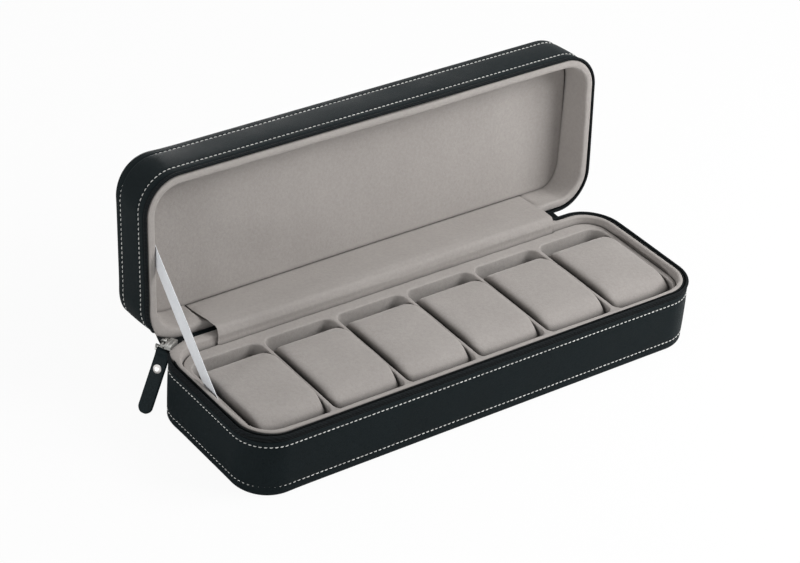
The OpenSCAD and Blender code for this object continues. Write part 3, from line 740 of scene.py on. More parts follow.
def corner_web(first, last, loose):
    """The loose tape at a rear corner: it runs from the rim of the base to the rim of the open
    lid, and sags outwards between them in a quadratic curve as far as loose."""
    along = np.linspace(first, last, 24)
    low_x, low_y = rim(along, 0.4)
    low = np.stack([low_x, low_y, 38.4 + 0 * along], axis=1)
    high = onto_lid(np.stack([*rim(along, 0.4), lid_height - 2.6 + 0 * along], axis=1))
    out_x, out_y = rim(along, -loose)
    slack = np.stack([out_x - low_x, 0.6 * (out_y - low_y), -0.4 * loose + 0.3 * np.sin(along)], axis=1)
    sag = (low + high) / 2 + slack
    t = np.linspace(0, 1, 12)[None, :, None]
    low, sag, high = low[:, None], sag[:, None], high[:, None]
    return (1 - t) ** 2 * low + 2 * t * (1 - t) * sag + t ** 2 * high


for name, first, last, loose in (
    ("left", 134.5, 155.5, 1.6),
    ("right", round_trip - 124.0, round_trip - 133.0, 0.5),
):
    web = corner_web(first, last, loose)
    web_points, web_faces = thin_sheet(web, 0.5)
    made = piece(
        f"loose_tape_{name}", web_points, web_faces, tape_weave, None,
        [f"zip_tail_{name}"], weld=True
    )
    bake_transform(made)

# Leather and lining of the lid
# The lid is made like the base: a stitched band, a flat top panel that is padded a little,
# and a velvet wall whose wide lip covers the edge of the board.
lid_leather_top = lid_height - 3.4
lid_rows = (6.3, lid_height - 8.2)
lid_band_points, lid_band_faces = wall_ring(
    stations(2.2), band_profile(lid_leather_top, lid_rows), band_puff(lid_rows, lid_leather_top, 12, 1.2)
)
piece(
    "lid_leather_band", onto_lid(lid_band_points), lid_band_faces, leather, "lid",
    ["lid_side_cover"]
)
top_points, top_faces = plate(
    plate_profile(panel_edge, 0.0, leather_thick, panel_round), crowned(0.7, panel_edge, 0.0, leather_thick)
)
top_points[..., 2] = leather_thick - top_points[..., 2]
piece(
    "lid_top_panel", onto_lid(top_points), top_faces, leather, "lid", ["lid_top_cover"], weld=True
)


def lid_swell(along, height):
    """The lid's lining is thinner behind the hinge flap, and its padding swells over the edge of
    the panel on the right side, more and more towards the hinge."""
    deep = np.clip((lid_height - height) / 20.5, 0, 1)
    from_back = np.minimum(along, round_trip - along)
    sunk = 1.15 + 0.9 * np.clip(along / 120, 0, 1) * (along < 200)
    flap_end = np.where(along < 200, 124.4, 122.5)
    thin = -sunk * np.clip((flap_end - from_back) / 0.9, 0, 1) * np.clip(deep * 2, 0, 1)
    side = 3.0 * np.clip((along - 580) / 58, 0, 1) * np.clip((668 - along) / 24, 0, 1)
    return thin + side * deep


lid_wall_points, lid_wall_faces = wall_ring(
    stations(2.0), lip_profile(1.5, wall_depth, lid_height - rim_gap, 3.5, 3.45, 0.6),
    lining_puff(4, lid_height, 1.5, 32, lid_swell, lid_lean)
)
piece(
    "lid_velvet_wall", onto_lid(lid_wall_points), lid_wall_faces, velvet, "lid", ["lid_lining_wall"]
)

# Panel inside the lid
# A thin padded board wrapped in velvet lies on the lid's foam. A narrow dark gap is left all
# round it, and its face is smooth and a little crowned.
lining_edge, lining_low, lining_high = 7.35, 10.7, 13.3
panel_points, panel_faces = plate(
    plate_profile(lining_edge, lining_low, lining_high, 0.8),
    crowned(0.35, lining_edge, lining_low, lining_high),
)
panel_left = np.clip(-panel_points[..., 0] / 120, 0, 1)
panel_points[..., 1] += (0.95 + 0.9 * panel_left) * np.clip((panel_points[..., 1] - 24) / 16, 0, 1)
panel_piece = piece(
    "lid_velvet_panel", onto_lid(panel_points), panel_faces, velvet, "lid",
    ["lid_lining_panel"], weld=True
)

# Tray with six pockets
# One frame of velvet over board lies in the base. Its rails and dividers are softly rounded
# where the velvet turns down into the pockets.
tray_low, tray_high = 4.5, 36.0
pocket_pitch, pocket_half = 50.16667, 23.58333
pocket_front, pocket_back, pocket_corner, end_corner = -42.0, 36.7, 6.0, 8.6
tray_edge, soft_edge, flap_half = 6.8, 1.0, 121.0
pillow_numbers = range(1, 7)
pocket_middles = [(i - 3.5) * pocket_pitch for i in pillow_numbers]


def tray_reach(x, y, dx, dy, left, right):
    """Distance from a point along a direction to the tray's outline, drawn in by the soft edge,
    or to the straight line shared with the next pocket. left and right are those lines."""
    inset = tray_edge + soft_edge
    back = case_width / 2 - inset
    with np.errstate(divide="ignore"):
        to_side = np.where(dx > 1e-9, (right - x) / dx, np.where(dx < -1e-9, (left - x) / dx, 1e9))
        to_end = np.where(dy > 1e-9, (back - y) / dy, np.where(dy < -1e-9, (-back - y) / dy, 1e9))
    reach = np.minimum(to_side, to_end)
    hit_x, hit_y = x + reach * dx, y + reach * dy
    on_corner = (np.abs(hit_x) > half_x) & (np.abs(hit_y) > half_y)
    off_x, off_y = x - np.sign(hit_x) * half_x, y - np.sign(hit_y) * half_y
    along = off_x * dx + off_y * dy
    square = along ** 2 - off_x ** 2 - off_y ** 2 + (corner - inset) ** 2
    round_reach = -along + np.sqrt(np.maximum(square, 0))
    return np.where(on_corner, round_reach, reach)


def pocket_rays(middle, left, right):
    """Points round a pocket's opening, and the direction pointing away from it at each. The
    corner rays are split at the one that meets the corner of the pocket's share of the tray."""
    inset = tray_edge + soft_edge
    back = case_width / 2 - inset
    rows = []
    for turn, side_x, side_y in ((0, 1, 1), (90, -1, 1), (180, -1, -1), (270, 1, -1)):
        outer = (right if side_x > 0 else left)
        radius = end_corner if abs(outer) > half_x else pocket_corner
        cx = middle + side_x * (pocket_half - radius)
        cy = pocket_back - radius if side_y > 0 else pocket_front + radius
        split = math.degrees(math.atan2(side_y * back - cy, outer - cx)) % 360
        angles = np.concatenate([np.linspace(turn, split, 6), np.linspace(split, turn + 90, 6)[1:]])
        way_x, way_y = np.cos(np.radians(angles)), np.sin(np.radians(angles))
        rows.append(np.stack([cx + radius * way_x, cy + radius * way_y, way_x, way_y], axis=1))
    full = []
    for arc, following, count in zip(rows, rows[1:] + rows[:1], (16, 26, 16, 26)):
        share = np.linspace(0, 1, count)[1:-1, None]
        full += [arc, arc[-1] * (1 - share) + following[0] * share]
    return np.concatenate(full)


def tray_unevenness(x, y):
    """Slow waves of a tenth of a millimetre in the velvet on top of the tray."""
    short = np.sin(x / 7.3 + 0.8) * np.cos(y / 5.1) + np.sin(x / 3.1 + y / 4.7)
    return 0.06 * short + 0.05 * np.sin(x / 17.0)


tray_points, tray_faces, tray_edge_points, count = [], [], [], 0
tray_end = case_length / 2 - tray_edge - soft_edge
for middle in pocket_middles:
    left = middle - pocket_pitch / 2 if middle > pocket_middles[0] else -tray_end
    right = middle + pocket_pitch / 2 if middle < pocket_middles[-1] else tray_end
    px, py, dx, dy = pocket_rays(middle, left, right).T
    reach = tray_reach(px, py, dx, dy, left, right)
    bend = np.radians(np.linspace(0, 90, 7))
    steps = [(0, z) for z in (tray_low, 12, 20, 28, 33)] + [
        (soft_edge * (1 - math.cos(a)), tray_high - soft_edge + soft_edge * math.sin(a)) for a in bend
    ]
    rings = [np.stack([px + d * dx, py + d * dy, z + 0 * px], axis=1) for d, z in steps]
    for share in (0.33, 0.66, 1.0):
        d = soft_edge + (reach - soft_edge) * share
        rings.append(np.stack([px + d * dx, py + d * dy, tray_high + 0 * px], axis=1))
    hit = rings[-1]
    inset = tray_edge + soft_edge
    past_side = np.maximum(np.abs(hit[:, 0]) - case_length / 2, np.abs(hit[:, 1]) - case_width / 2)
    outer = np.abs(past_side + inset) < 1e-4
    centre = np.sign(hit[:, :2]) * [half_x, half_y]
    away = hit[:, :2] - centre
    on_arc = (np.abs(hit[:, 0]) > half_x) & (np.abs(hit[:, 1]) > half_y)
    outer |= (np.abs(np.linalg.norm(away, axis=1) - (corner - inset)) < 1e-4) & on_arc
    on_end = np.abs(hit[:, 0]) > case_length / 2 - inset - 1e-4
    normal = np.where(on_end[:, None], [1, 0] * np.sign(hit[:, :2]), [0, 1] * np.sign(hit[:, :2]))
    radial = away / np.maximum(np.linalg.norm(away, axis=1, keepdims=True), 1e-9)
    normal = np.where(on_arc[:, None], radial, normal)
    foot = hit.copy()
    foot[:, :2] += np.where(outer[:, None], soft_edge * normal, 0)
    foot[:, 2] = tray_low
    rings = [foot] + rings
    tray_points.append(np.stack(rings))
    tray_faces.append(grid_faces(len(rings), len(px), False, True) + count)
    count += len(rings) * len(px)
    tray_edge_points.append(np.concatenate([hit[outer], normal[outer]], axis=1))
edge = np.concatenate(tray_edge_points)
edge = edge[np.argsort(np.arctan2(edge[:, 1] / half_y, edge[:, 0] / half_x))]
edge = edge[np.linalg.norm(edge[:, :2] - np.roll(edge[:, :2], 1, axis=0), axis=1) > 1e-4]
skirt = []
for out, z in [(soft_edge * math.sin(a), tray_high - soft_edge + soft_edge * math.cos(a)) for a in bend] + [
    (soft_edge, z) for z in (30, 20, tray_low)
]:
    x, y = edge[:, 0] + out * edge[:, 3], edge[:, 1] + out * edge[:, 4]
    skirt.append(np.stack([x, y, z + 0 * x], axis=1))
tray_faces.append(grid_faces(len(skirt), len(edge), False, True)[:, ::-1] + count)
tray_points = np.concatenate([p.reshape(-1, 3) for p in tray_points] + [np.stack(skirt).reshape(-1, 3)])
x, y, z = tray_points.T
upper = np.clip((z - tray_high + 2) / 2, 0, 1)
notch = np.clip((flap_half + 1.3 - np.abs(x)) / 1.5 + 0.5, 0, 1)
tray_points[:, 1] -= 0.8 * notch * np.clip((y - 37.5) / 6, 0, 1)
tray_points[:, 2] += upper * tray_unevenness(x, y)
tray_parts = ["tray_frame"] + [f"tray_divider_{i}" for i in range(1, 6)]
piece("velvet_tray", tray_points, np.concatenate(tray_faces), velvet, "base", tray_parts, weld=True)

# Watch pillows
# Six foam blocks wrapped in velvet, which a closed watch strap goes round. The foam fills the
# cover: its faces swell a little, and a thin sewn edge runs round each side.
pillow_size = np.array([46.1, 70.8, 35.3])
pillow_middle = np.array([0.35, -3.5, 22.35])
pillow_roll, pillow_side_round = np.array([17.0, 12.5]), 3.4


def pillow_velvet():
    """The grey velvet with a fine sewn ridge round the pillow near each side, found from the
    pillow's own attribute, which is 0 in its middle and 1 at its sides."""
    # Strong painted shade: within 12 mm of a neighbour the colour darkens down to 4 %, as in the gaps between
    # pillows.
    material = grey_velvet("pillow_velvet", 4, 0.012, 0.04)
    nodes, links = material.node_tree.nodes, material.node_tree.links
    across = nodes.new("ShaderNodeAttribute")
    across.attribute_name = "across"
    size = nodes.new("ShaderNodeMath")
    size.operation = "ABSOLUTE"
    links.new(across.outputs["Fac"], size.inputs[0])
    line = nodes.new("ShaderNodeMath")
    line.operation = "COMPARE"
    links.new(size.outputs[0], line.inputs[0])
    line.inputs[1].default_value, line.inputs[2].default_value = 0.94, 0.009
    surface = nodes["Principled BSDF"]
    ridge = nodes.new("ShaderNodeBump")
    ridge.inputs["Strength"].default_value, ridge.inputs["Distance"].default_value = 0.3, 0.0002
    links.new(line.outputs[0], ridge.inputs["Height"])
    links.new(surface.inputs["Normal"].links[0].from_socket, ridge.inputs["Normal"])
    links.new(ridge.outputs[0], surface.inputs["Normal"])
    return material


pillow_cloth = pillow_velvet()


def pillow_form(shrink):
    """A block whose section from the side has four rolled edges, each a quarter of an ellipse,
    with straight stretches between them. It draws in at both sides along a small circle."""
    half = pillow_size / 2 - shrink
    a = np.linspace(0, np.pi / 2, 9)
    quarter = half[1:] - pillow_roll + pillow_roll * np.stack([np.cos(a), np.sin(a)], axis=1)
    loop = [quarter, quarter[::-1] * [-1, 1], quarter * [-1, -1], quarter[::-1] * [1, -1]]
    section = []
    for first, second in zip(loop, loop[1:] + loop[:1]):
        gap = np.linalg.norm(second[0] - first[-1])
        share = np.linspace(0, 1, max(3, int(gap / 3)))[1:-1, None]
        section += [first, first[-1] * (1 - share) + second[0] * share]
    section = np.concatenate(section)
    e = np.linspace(0, np.pi / 2, 5)
    sr = pillow_side_round
    side = [(half[0] - sr + sr * math.sin(t), sr * (1 - math.cos(t))) for t in e]
    inner = [(half[0], sr + d) for d in (2.5, 5, 7.5, 10)]
    right = side + inner
    rows = [(-x, d) for x, d in right[::-1]]
    rows += [(x, 0) for x in np.linspace(-half[0] + sr, half[0] - sr, 14)[1:-1]] + right
    size = np.abs(section).max(axis=0)
    points = np.stack([
        np.column_stack([np.full(len(section), x), section * (1 - d / size)]) for x, d in rows
    ])
    ends = np.arange(len(section))
    faces = grid_faces(len(rows), len(section), False, True)
    return points, [faces, ends, (len(rows) - 1) * len(section) + ends[::-1]]


def stuffed(points, faces, voxel, pressure, cap):
    """Swells a closed form by cloth simulation: it is remeshed to even squares, blown up for
    twenty frames, and no point moves further than the cap. The foam keeps the side faces almost
    flat. Each point of the form then takes the mean movement of the squares round it, weighted
    by exp(-d^2 / 2 s^2) with s = 2 mm. Returns the settled points."""
    form = piece("pillow_form", points, faces, pillow_cloth, None)
    form.data.remesh_voxel_size = voxel * MM
    bpy.context.view_layer.objects.active = form
    form.select_set(True)
    bpy.ops.object.voxel_remesh()
    start = np.array([v.co for v in form.data.vertices])
    cloth = form.modifiers.new("cloth", "CLOTH")
    cloth.settings.use_pressure = True
    cloth.settings.uniform_pressure_force = pressure
    cloth.settings.effector_weights.gravity = 0
    cloth.settings.quality = 6
    cloth.settings.tension_stiffness = cloth.settings.compression_stiffness = 40
    cloth.settings.bending_stiffness = 3
    cloth.point_cache.frame_start, cloth.point_cache.frame_end = 1, 20
    for frame_number in range(1, 21):
        bpy.context.scene.frame_set(frame_number)
    settled = form.evaluated_get(bpy.context.evaluated_depsgraph_get()).data
    moved = np.array([v.co for v in settled.vertices])
    bpy.context.scene.frame_set(1)
    move = moved - start
    size = np.linalg.norm(move, axis=1, keepdims=True)
    move *= np.minimum(1, cap * MM / np.maximum(size, 1e-9)) * [0.12, 1, 1]
    still = points.reshape(-1, 3) * MM
    gap = (still ** 2).sum(axis=1)[:, None] + (start ** 2).sum(axis=1) - 2 * still @ start.T
    share = np.exp(-(gap - gap.min(axis=1, keepdims=True)) / (2 * (2 * MM) ** 2))
    settled_points = (still + share @ move / share.sum(axis=1, keepdims=True)) / MM
    old = form.data
    bpy.data.objects.remove(form)
    bpy.data.meshes.remove(old)
    return settled_points


form_points, pillow_faces = pillow_form(1.6)
pillow_points = stuffed(form_points, pillow_faces, 1.8, 4.0, 2.0)
middle = (pillow_points.max(axis=0) + pillow_points.min(axis=0)) / 2
extent = pillow_points.max(axis=0) - pillow_points.min(axis=0)
pillow_points = (pillow_points - middle) * (pillow_size - 0.25) / extent
pillow_spread = [2.0, 2.0, 1.6, 1.4, 0.5, 0.1]
slope_from, slope_width, slope_loss = 17, 6.5, 0.15


def pillow_copy(number):
    """The settled pillow with slow dents and swellings of its own of up to a quarter of a
    millimetre. Above the tray its sides spread over the dividers, mostly to the right. Its left
    side slopes: towards it the pillow gets thinner along a quarter of a circle."""
    dice = np.random.default_rng(40 + number)
    p = pillow_points.copy()
    wave = 0 * p[:, 0]
    for _ in range(7):
        way = dice.normal(0, 1, 3)
        way *= dice.uniform(0.1, 0.24) / np.linalg.norm(way)
        wave = wave + np.sin(p @ way + dice.uniform(0, 6.3))
    p *= 1 - 0.0035 * (1 + wave[:, None] / 3.5)
    above = np.clip((p[:, 2] - 12.4) / 4.5, 0, 1)
    reach = np.where(p[:, 0] > 0, pillow_spread[number - 1], 0.2) * np.abs(p[:, 0] / 23) ** 6
    p[:, 0] += np.sign(p[:, 0]) * reach * above ** 2 * (3 - 2 * above)
    slope = np.clip((-p[:, 0] - slope_from) / slope_width, 0, 1)
    p[:, 1:] *= 1 - slope_loss * (1 - np.sqrt(1 - slope ** 2))[:, None]
    return p + pillow_middle + [pocket_middles[number - 1], 0, 0]


for i in pillow_numbers:
    solids = [f"pillow_cover_{i}", f"pillow_core_{i}"]
    made = piece(
        f"velvet_pillow_{i}", pillow_copy(i), pillow_faces, pillow_cloth, f"pillow_{i}", solids,
        sharp=80
    )
    across = made.data.attributes.new("across", "FLOAT", "POINT")
    across.data.foreach_set("value", pillow_points[:, 0] / (pillow_size[0] / 2))
    smooth = made.modifiers.new("smooth", "SUBSURF")
    smooth.levels = smooth.render_levels = 1

# Leather spine of the hinge
# A wide strip of the black leather is glued to the back of base and lid and bends between
# them. Its long edges are cut square and its face puckers slightly over the bend.
spine_bend, spine_out = 5.0, 3.225
open_degrees = 94.5


def hinge_path(bend, out, base_run, lid_run, steps):
    """Middle line of a strip over the hinge, from its end on the base to its end on the lid, and
    its outward normals: straight, then a circular bend of the lid's opening angle, then straight."""
    down = -out * math.tan(math.radians(open_degrees / 2))
    low = np.linspace(-base_run, 0, steps)[:-1]
    a = np.radians(np.linspace(0, open_degrees, steps))
    far = np.linspace(0, lid_run, steps)[1:]
    last, way = a[-1], np.array([math.sin(a[-1]), math.cos(a[-1])])
    end = bend * np.array([-math.cos(last), math.sin(last)])
    path = np.concatenate([
        np.stack([-bend + 0 * low, low], axis=1),
        np.stack([-bend * np.cos(a), bend * np.sin(a)], axis=1),
        end + far[:, None] * way,
    ])
    normal = np.concatenate([
        np.tile([-1.0, 0.0], (len(low), 1)),
        np.stack([-np.cos(a), np.sin(a)], axis=1),
        np.tile([-math.cos(last), math.sin(last)], (len(far), 1)),
    ])
    return path + [hinge_y + out, hinge_z + down], normal


def hinge_cloth(path, normal, thick, half_width, columns, lift, ends_edge):
    """A thin closed strip along a path: both faces of a sheet spread over the hinge's width, joined
    by rounded edges. lift(x, v) moves the middle surface along its normal."""
    x = np.linspace(-half_width, half_width, columns)
    v = np.linspace(0, 1, len(path))
    grid_x, grid_v = np.meshgrid(x, v, indexing="ij")
    rise = lift(grid_x, grid_v)
    near_edge = np.minimum(
        np.clip((half_width - np.abs(grid_x)) / ends_edge, 0, 1),
        np.clip(np.minimum(grid_v, 1 - grid_v) * len(path) / 2, 0, 1),
    )
    half = thick / 2 * (0.25 + 0.75 * np.sqrt(1 - (1 - near_edge) ** 2))
    sheets = []
    for side in (1, -1):
        off = rise + side * half
        y, z = path[:, 0] + off * normal[:, 0], path[:, 1] + off * normal[:, 1]
        sheets.append(np.stack([grid_x, y, z], axis=2))
    return np.stack(sheets), sheet_faces(*grid_x.shape)


def spine_pucker(x, v):
    """Small waves along the case, nothing at the two long edges and most over the bend."""
    return 0.05 * np.sin(x / 4.3) * np.sin(np.pi * v) ** 2


spine_short = 7.0
spine_path, spine_normal = hinge_path(spine_bend, spine_out, 6.0, 13.8, 12)
spine_points, spine_faces = hinge_cloth(
    spine_path, spine_normal, leather_thick, spine_half, 130, spine_pucker, 0.8
)
spine_points[..., 0] -= spine_short * np.clip((spine_points[..., 0] - 100) / 35, 0, 1)
spine = piece("leather_spine", spine_points, spine_faces, leather, None, ["hinge_spine"], weld=True)
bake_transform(spine)

# Velvet flap over the hinge
# A strip of the lining velvet covers the inside of the hinge. It is glued up to the lid's
# panel and tucked behind the tray, with slack that lies in long soft folds.
flap_bend, flap_out = 5.5, -3.9
flap_path, flap_normal = hinge_path(flap_bend, flap_out, 12.82, 29.0, 22)
flap_folds = (
    (0.24, 0.06, -0.28), (0.35, 0.06, 0.3), (0.5, 0.08, 0.45), (0.63, 0.06, -0.25), (0.72, 0.05, 0.15),
)


def flap_lift(x, v):
    """Slack in the flap: folds that run along the hinge and wander a little, a sunken upper edge,
    and a lifted corner at the left end. A fold is a bell curve with a place, width and height."""
    at = v + 0.02 * np.sin(x / 37 + 1.1) + 0.01 * np.sin(x / 17.0)
    folds = 0
    for place, width, size in flap_folds:
        folds = folds + size * np.exp(-(((at - place) / width) ** 2))
    ease = 0.22 * np.sin(x / 23 + 9 * v) * np.sin(np.pi * v) ** 2
    curl = 0.7 * np.clip((-110 - x) / 11, 0, 1) ** 2 * np.exp(-(((v - 0.55) / 0.13) ** 2))
    held = np.clip(v / 0.15, 0, 1) * np.clip((1 - v) / 0.12, 0, 1)
    sunk = 0.6 + 0.9 * np.clip(-x / 120, 0, 1)
    return (folds + ease) * held + curl - sunk * np.clip((v - 0.72) / 0.2, 0, 1)


flap_points, flap_faces = hinge_cloth(flap_path, flap_normal, 0.8, flap_half, 150, flap_lift, 1.0)
flap_points[..., 0] -= 1.8 * np.clip((-95 - flap_points[..., 0]) / 25, 0, 1)
flap_piece = piece("velvet_flap", flap_points, flap_faces, velvet, None, ["hinge_flap"], weld=True)
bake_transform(flap_piece)

# Ribbon stay
# A pale satin ribbon, sewn behind the left wall of the base and of the lid, keeps the lid from
# falling back. It is taut and lies flat along the left side.
def satin():
    """Bluish white satin: a fine rib across the ribbon in colour and bump, with a soft gloss."""
    material, add, surface, links = shader("pale_satin")
    place = add("TexCoord").outputs["Object"]
    rib = add("TexWave", {
        "Vector": place, "Scale": 420.0, "Distortion": 0.6, "Detail": 1.0,
    }, bands_direction="Z")
    cloud = add("TexNoise", {"Vector": place, "Scale": 160.0, "Detail": 3.0})
    both = add("Math", {0: rib.outputs[0], 1: cloud.outputs[0]}, operation="ADD")
    tone = add("ValToRGB", {0: both.outputs[0]})
    tone.color_ramp.elements[0].position, tone.color_ramp.elements[1].position = 0.4, 1.3
    tone.color_ramp.elements[0].color = (0.66, 0.685, 0.72, 1)
    tone.color_ramp.elements[1].color = (0.79, 0.805, 0.83, 1)
    links.new(tone.outputs[0], surface.inputs["Base Color"])
    surface.inputs["Roughness"].default_value = 0.45
    surface.inputs["Sheen Weight"].default_value = 0.2
    relief = add("Bump", {"Height": rib.outputs[0], "Strength": 0.3, "Distance": 0.0001})
    links.new(relief.outputs[0], surface.inputs["Normal"])
    return material


ribbon_low, ribbon_high = np.array([-153.1, 3.2, 38.8]), np.array([-153.1, 67.75, 99.15])
ribbon_half, ribbon_half_thick = 4.6, 0.22


def ribbon_strip():
    """A flat strip between two points, whose foot goes on down behind the tray: its section is a
    thin rounded bar that turns a little about the run halfway up."""
    run = ribbon_high - ribbon_low
    length = np.linalg.norm(run)
    run = run / length
    side = np.array([1.0, 0, 0])
    across = np.cross(side, run)
    s = np.linspace(-0.06, 1, 60)[:, None]
    swing = np.radians(-5) * np.sin(np.pi * np.clip(s, 0, 1)) ** 2
    bar = softened(np.array([(-1, -1), (1, -1), (1, 1), (-1, 1)]) * [ribbon_half, ribbon_half_thick], 0.2)
    wide, thin = bar[:, 0], bar[:, 1]
    sideways = -wide * np.sin(swing) + thin * np.cos(swing)
    upward = wide * np.cos(swing) + thin * np.sin(swing)
    sag = 0.35 * np.sin(np.pi * np.clip(s, 0, 1))
    offset = np.stack([0 * s, 0.5 + 0.9 * s, -0.4 - 0.9 * s], axis=2)
    points = ribbon_low + offset + s[..., None] * length * run
    points = points + sideways[..., None] * side + (upward - sag)[..., None] * across
    ends = np.arange(len(bar))
    return points, [grid_faces(60, len(bar), False, True), ends, 59 * len(bar) + ends[::-1]]


ribbon_points, ribbon_faces = ribbon_strip()
ribbon_piece = piece("satin_ribbon", ribbon_points, ribbon_faces, satin(), None, ["stay_ribbon"])
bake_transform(ribbon_piece)

# Zip slider and its pull
# The slider is cast metal, brushed and a little dull, with a bar on its outer plate. A wire
# frame hangs from the bar, and its lower side is the pin of the leather tab.
def dull_metal():
    """Pale cast metal: brushed streaks vary the gloss, and soft clouds darken the colour."""
    material, add, surface, links = shader("dull_metal")
    place = add("TexCoord").outputs["Object"]
    streak = add("Mapping", {"Vector": place, "Scale": (1.0, 1.0, 7.0)}).outputs[0]
    brush = add("TexNoise", {"Vector": streak, "Scale": 900.0, "Detail": 4.0})
    cloud = add("TexNoise", {"Vector": place, "Scale": 260.0, "Detail": 3.0})
    tone = add("ValToRGB", {0: cloud.outputs[0]})
    tone.color_ramp.elements[0].position, tone.color_ramp.elements[1].position = 0.3, 0.65
    tone.color_ramp.elements[0].color = (0.3, 0.3, 0.29, 1)
    tone.color_ramp.elements[1].color = (0.5, 0.5, 0.48, 1)
    links.new(tone.outputs[0], surface.inputs["Base Color"])
    surface.inputs["Metallic"].default_value = 0.85
    gloss = add("MapRange", {0: brush.outputs[0], 1: 0.3, 2: 0.7, 3: 0.3, 4: 0.5})
    links.new(gloss.outputs[0], surface.inputs["Roughness"])
    fine = add("Bump", {"Height": brush.outputs[0], "Strength": 0.2, "Distance": 0.0001})
    links.new(fine.outputs[0], surface.inputs["Normal"])
    return material


metal = dull_metal()


def cast_copy(node, name, body, width):
    """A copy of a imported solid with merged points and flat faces, whose edges are rounded by a
    bevel, as a casting's are."""
    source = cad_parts[node]
    mesh = source.data.copy()
    mesh.transform(source.matrix_world)
    work = bmesh.new()
    work.from_mesh(mesh)
    bmesh.ops.remove_doubles(work, verts=work.verts, dist=1e-6)
    bmesh.ops.dissolve_limit(work, angle_limit=0.01, verts=work.verts, edges=work.edges)
    work.to_mesh(mesh)
    work.free()
    mesh.materials.clear()
    mesh.materials.append(metal)
    mesh.polygons.foreach_set("use_smooth", np.ones(len(mesh.polygons), bool))
    made = bpy.data.objects.new(name, mesh)
    bpy.context.scene.collection.objects.link(made)
    bevel = made.modifiers.new("rounded_edges", "BEVEL")
    bevel.width, bevel.segments, bevel.limit_method = width * MM, 3, "ANGLE"
    bevel.angle_limit = math.radians(32)
    bevel.harden_normals = True
    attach(made, body)
    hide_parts(node)
    return made


slider_turn = math.radians(120)
slider_frame = Matrix.Translation((-half_x, half_y, 41.5)) @ Matrix.Rotation(slider_turn, 4, "Z")
slider_axes = np.array(slider_frame)


def slider_shell():
    """The slider's two plates with their flanges turned in until they meet: a softened box carried
    along the zip, whose height follows the outline from the wide mouth to a blunt nose. A slit
    a third of a millimetre deep marks where the flanges meet."""
    along = np.array([-4.5, -4.35, -3.9, -2.0, 0.0, 2.0, 3.3, 4.3, 4.5])
    tall = np.interp(along, [-4.5, -3.9, 1.0, 3.3, 4.5], [1.2, 1.7, 2.2, 2.0, 1.1])
    rows = []
    for y, h in zip(along, tall):
        edge = [(24.25, -h), (24.25, h), (26.1, h), (26.1, h - 0.33), (26.45, h - 0.33), (26.45, h)]
        edge += [(28.35, h), (28.35, -h), (26.45, -h), (26.45, 0.33 - h), (26.1, 0.33 - h), (26.1, -h)]
        section = softened(edge, 0.18)
        rows.append(np.stack([section[:, 0], y + 0 * section[:, 0], section[:, 1]], axis=1))
    points = np.stack(rows)
    n, m = points.shape[:2]
    ends = np.arange(m)
    return points.reshape(-1, 3), [grid_faces(n, m, False, True), ends[::-1], (n - 1) * m + ends]


shell_points, shell_faces = slider_shell()
shell_points = shell_points @ slider_axes[:3, :3].T + slider_axes[:3, 3]
piece("zip_slider", shell_points, shell_faces, metal, "slider", ["slider_body"], weld=True)
cast_copy("slider_crown", "slider_bar", "slider", 0.18)
cast_copy("pull_link", "pull_frame", "pull", 0.16)

# Leather tab of the pull
# Two layers of leather are folded round the pin, glued and held by a rivet. The tab stands
# with its round end on the table and leans against the pull.
pull_out, tab_lean = (math.radians(a) for a in (6, 25))
bar_at, frame_middle, pin_drop = 30.75, 30.05, 6.55
tab_frame = (
    slider_frame
    @ Matrix.Translation((bar_at, 0, 0))
    @ Matrix.Rotation(-pull_out, 4, "Y")
    @ Matrix.Translation((frame_middle - bar_at, 0, -pin_drop))
    @ Matrix.Rotation(tab_lean, 4, "X")
)
tab_axes = np.array(tab_frame)
tab_half, tab_length, rivet_at = 4.4, 38.0, 10.5


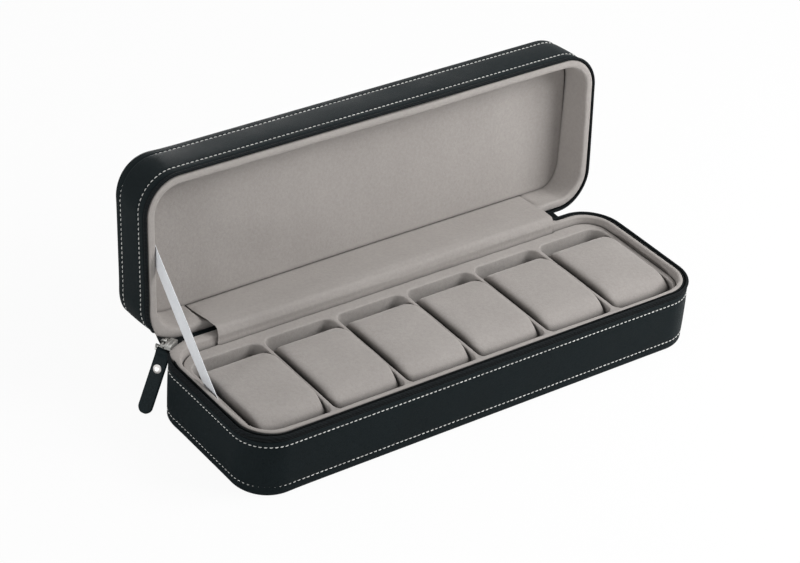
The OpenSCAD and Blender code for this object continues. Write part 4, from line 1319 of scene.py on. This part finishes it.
def tab_form():
    """Sections across the tab from its round end up over the pin: each is the flattened ring
    |x/w|^5 + |y/h|^5 = 1, with w half its width and h half its thickness. The rivet presses a
    shallow hollow into both faces."""
    a = np.linspace(0, np.pi / 2, 12)[:-1]
    z = np.concatenate([
        -tab_length + tab_half * (1 - np.cos(a)),
        np.linspace(-tab_length + tab_half, -3.2, 26),
        np.linspace(-2.9, 0, 8),
        2.1 * np.sin(np.linspace(0, np.pi / 2, 8)[1:]),
    ])
    from_end = np.clip(1 - (z + tab_length) / tab_half, 0, 1)
    width = np.maximum(tab_half * np.sqrt(1 - from_end ** 2), 0.02)
    fold = np.sqrt(np.clip(2.1 ** 2 - z ** 2, 0, None))
    ease = np.clip((z + 4.2) / 4.2, 0, 1)
    thick = np.where(z > 0, fold, 1.18 + (2.1 - 1.18) * ease ** 2 * (3 - 2 * ease))
    thick = np.maximum(thick * np.minimum(1, np.sqrt(np.clip((z + tab_length) / 0.5, 0.0, 1)) + 0.05), 0.02)
    width = width - np.where(z > 1.2, 0.35 * (z - 1.2), 0)
    turn = np.linspace(0, 2 * np.pi, 33)[:-1]
    cx, cy = np.cos(turn), np.sin(turn)
    ring_x = np.sign(cx) * np.abs(cx) ** 0.4
    ring_y = np.sign(cy) * np.abs(cy) ** 0.4
    along_press = 0.12 * np.exp(-(((z + rivet_at) / 3.4) ** 2))[:, None]
    press = along_press * np.exp(-((ring_x[None] * width[:, None] / 3.4) ** 2))
    points = np.stack([
        width[:, None] * ring_x, (thick[:, None] - press) * ring_y, z[:, None] + 0 * ring_x,
    ], axis=2)
    ends = np.arange(32)
    return points, [grid_faces(len(z), 32, False, True), ends, (len(z) - 1) * 32 + ends[::-1]]


def placed(points):
    """Points drawn on the tab, moved to where the tab hangs."""
    p = np.asarray(points, float).reshape(-1, 3)
    return p @ tab_axes[:3, :3].T + tab_axes[:3, 3]


tab_points, tab_faces = tab_form()
tab_leather = black_leather("tab_leather", 3, 1.7)
piece("leather_tab", placed(tab_points), tab_faces, tab_leather, "tab", ["pull_tab"])

# Rivet of the tab
# A polished rivet clamps the two layers. Each head is a low dome with a thin rim.
def rivet_form():
    """A turned form: the same dome at both ends of a short shank, swept round its axis."""
    dome = [
        (0.02, 2.15), (0.7, 2.12), (1.3, 2.02), (1.8, 1.86), (2.2, 1.66),
        (2.45, 1.5), (2.6, 1.42), (2.65, 1.32), (2.6, 1.24), (1.2, 1.22),
    ]
    profile = np.array(dome + [(r, -y) for r, y in dome[::-1]])
    turn = np.linspace(0, 2 * np.pi, 41)[:-1]
    points = np.stack([
        profile[:, :1] * np.cos(turn), profile[:, 1:] + 0 * turn, profile[:, :1] * np.sin(turn) - rivet_at,
    ], axis=2)
    ends = np.arange(40)
    return points, [grid_faces(len(profile), 40, False, True), ends, (len(profile) - 1) * 40 + ends[::-1]]


def polished_metal():
    """Bright nickel plate with a few fine clouds in its gloss and colour."""
    material, add, surface, links = shader("polished_nickel")
    place = add("TexCoord").outputs["Object"]
    cloud = add("TexNoise", {"Vector": place, "Scale": 700.0, "Detail": 3.0})
    tone = add("ValToRGB", {0: cloud.outputs[0]})
    tone.color_ramp.elements[0].color = (0.62, 0.6, 0.58, 1)
    tone.color_ramp.elements[1].color = (0.82, 0.8, 0.79, 1)
    links.new(tone.outputs[0], surface.inputs["Base Color"])
    surface.inputs["Metallic"].default_value = 0.9
    gloss = add("MapRange", {0: cloud.outputs[0], 1: 0.3, 2: 0.7, 3: 0.22, 4: 0.36})
    links.new(gloss.outputs[0], surface.inputs["Roughness"])
    return material


rivet_points, rivet_faces = rivet_form()
piece("tab_rivet", placed(rivet_points), rivet_faces, polished_metal(), "tab", ["pull_rivet"])
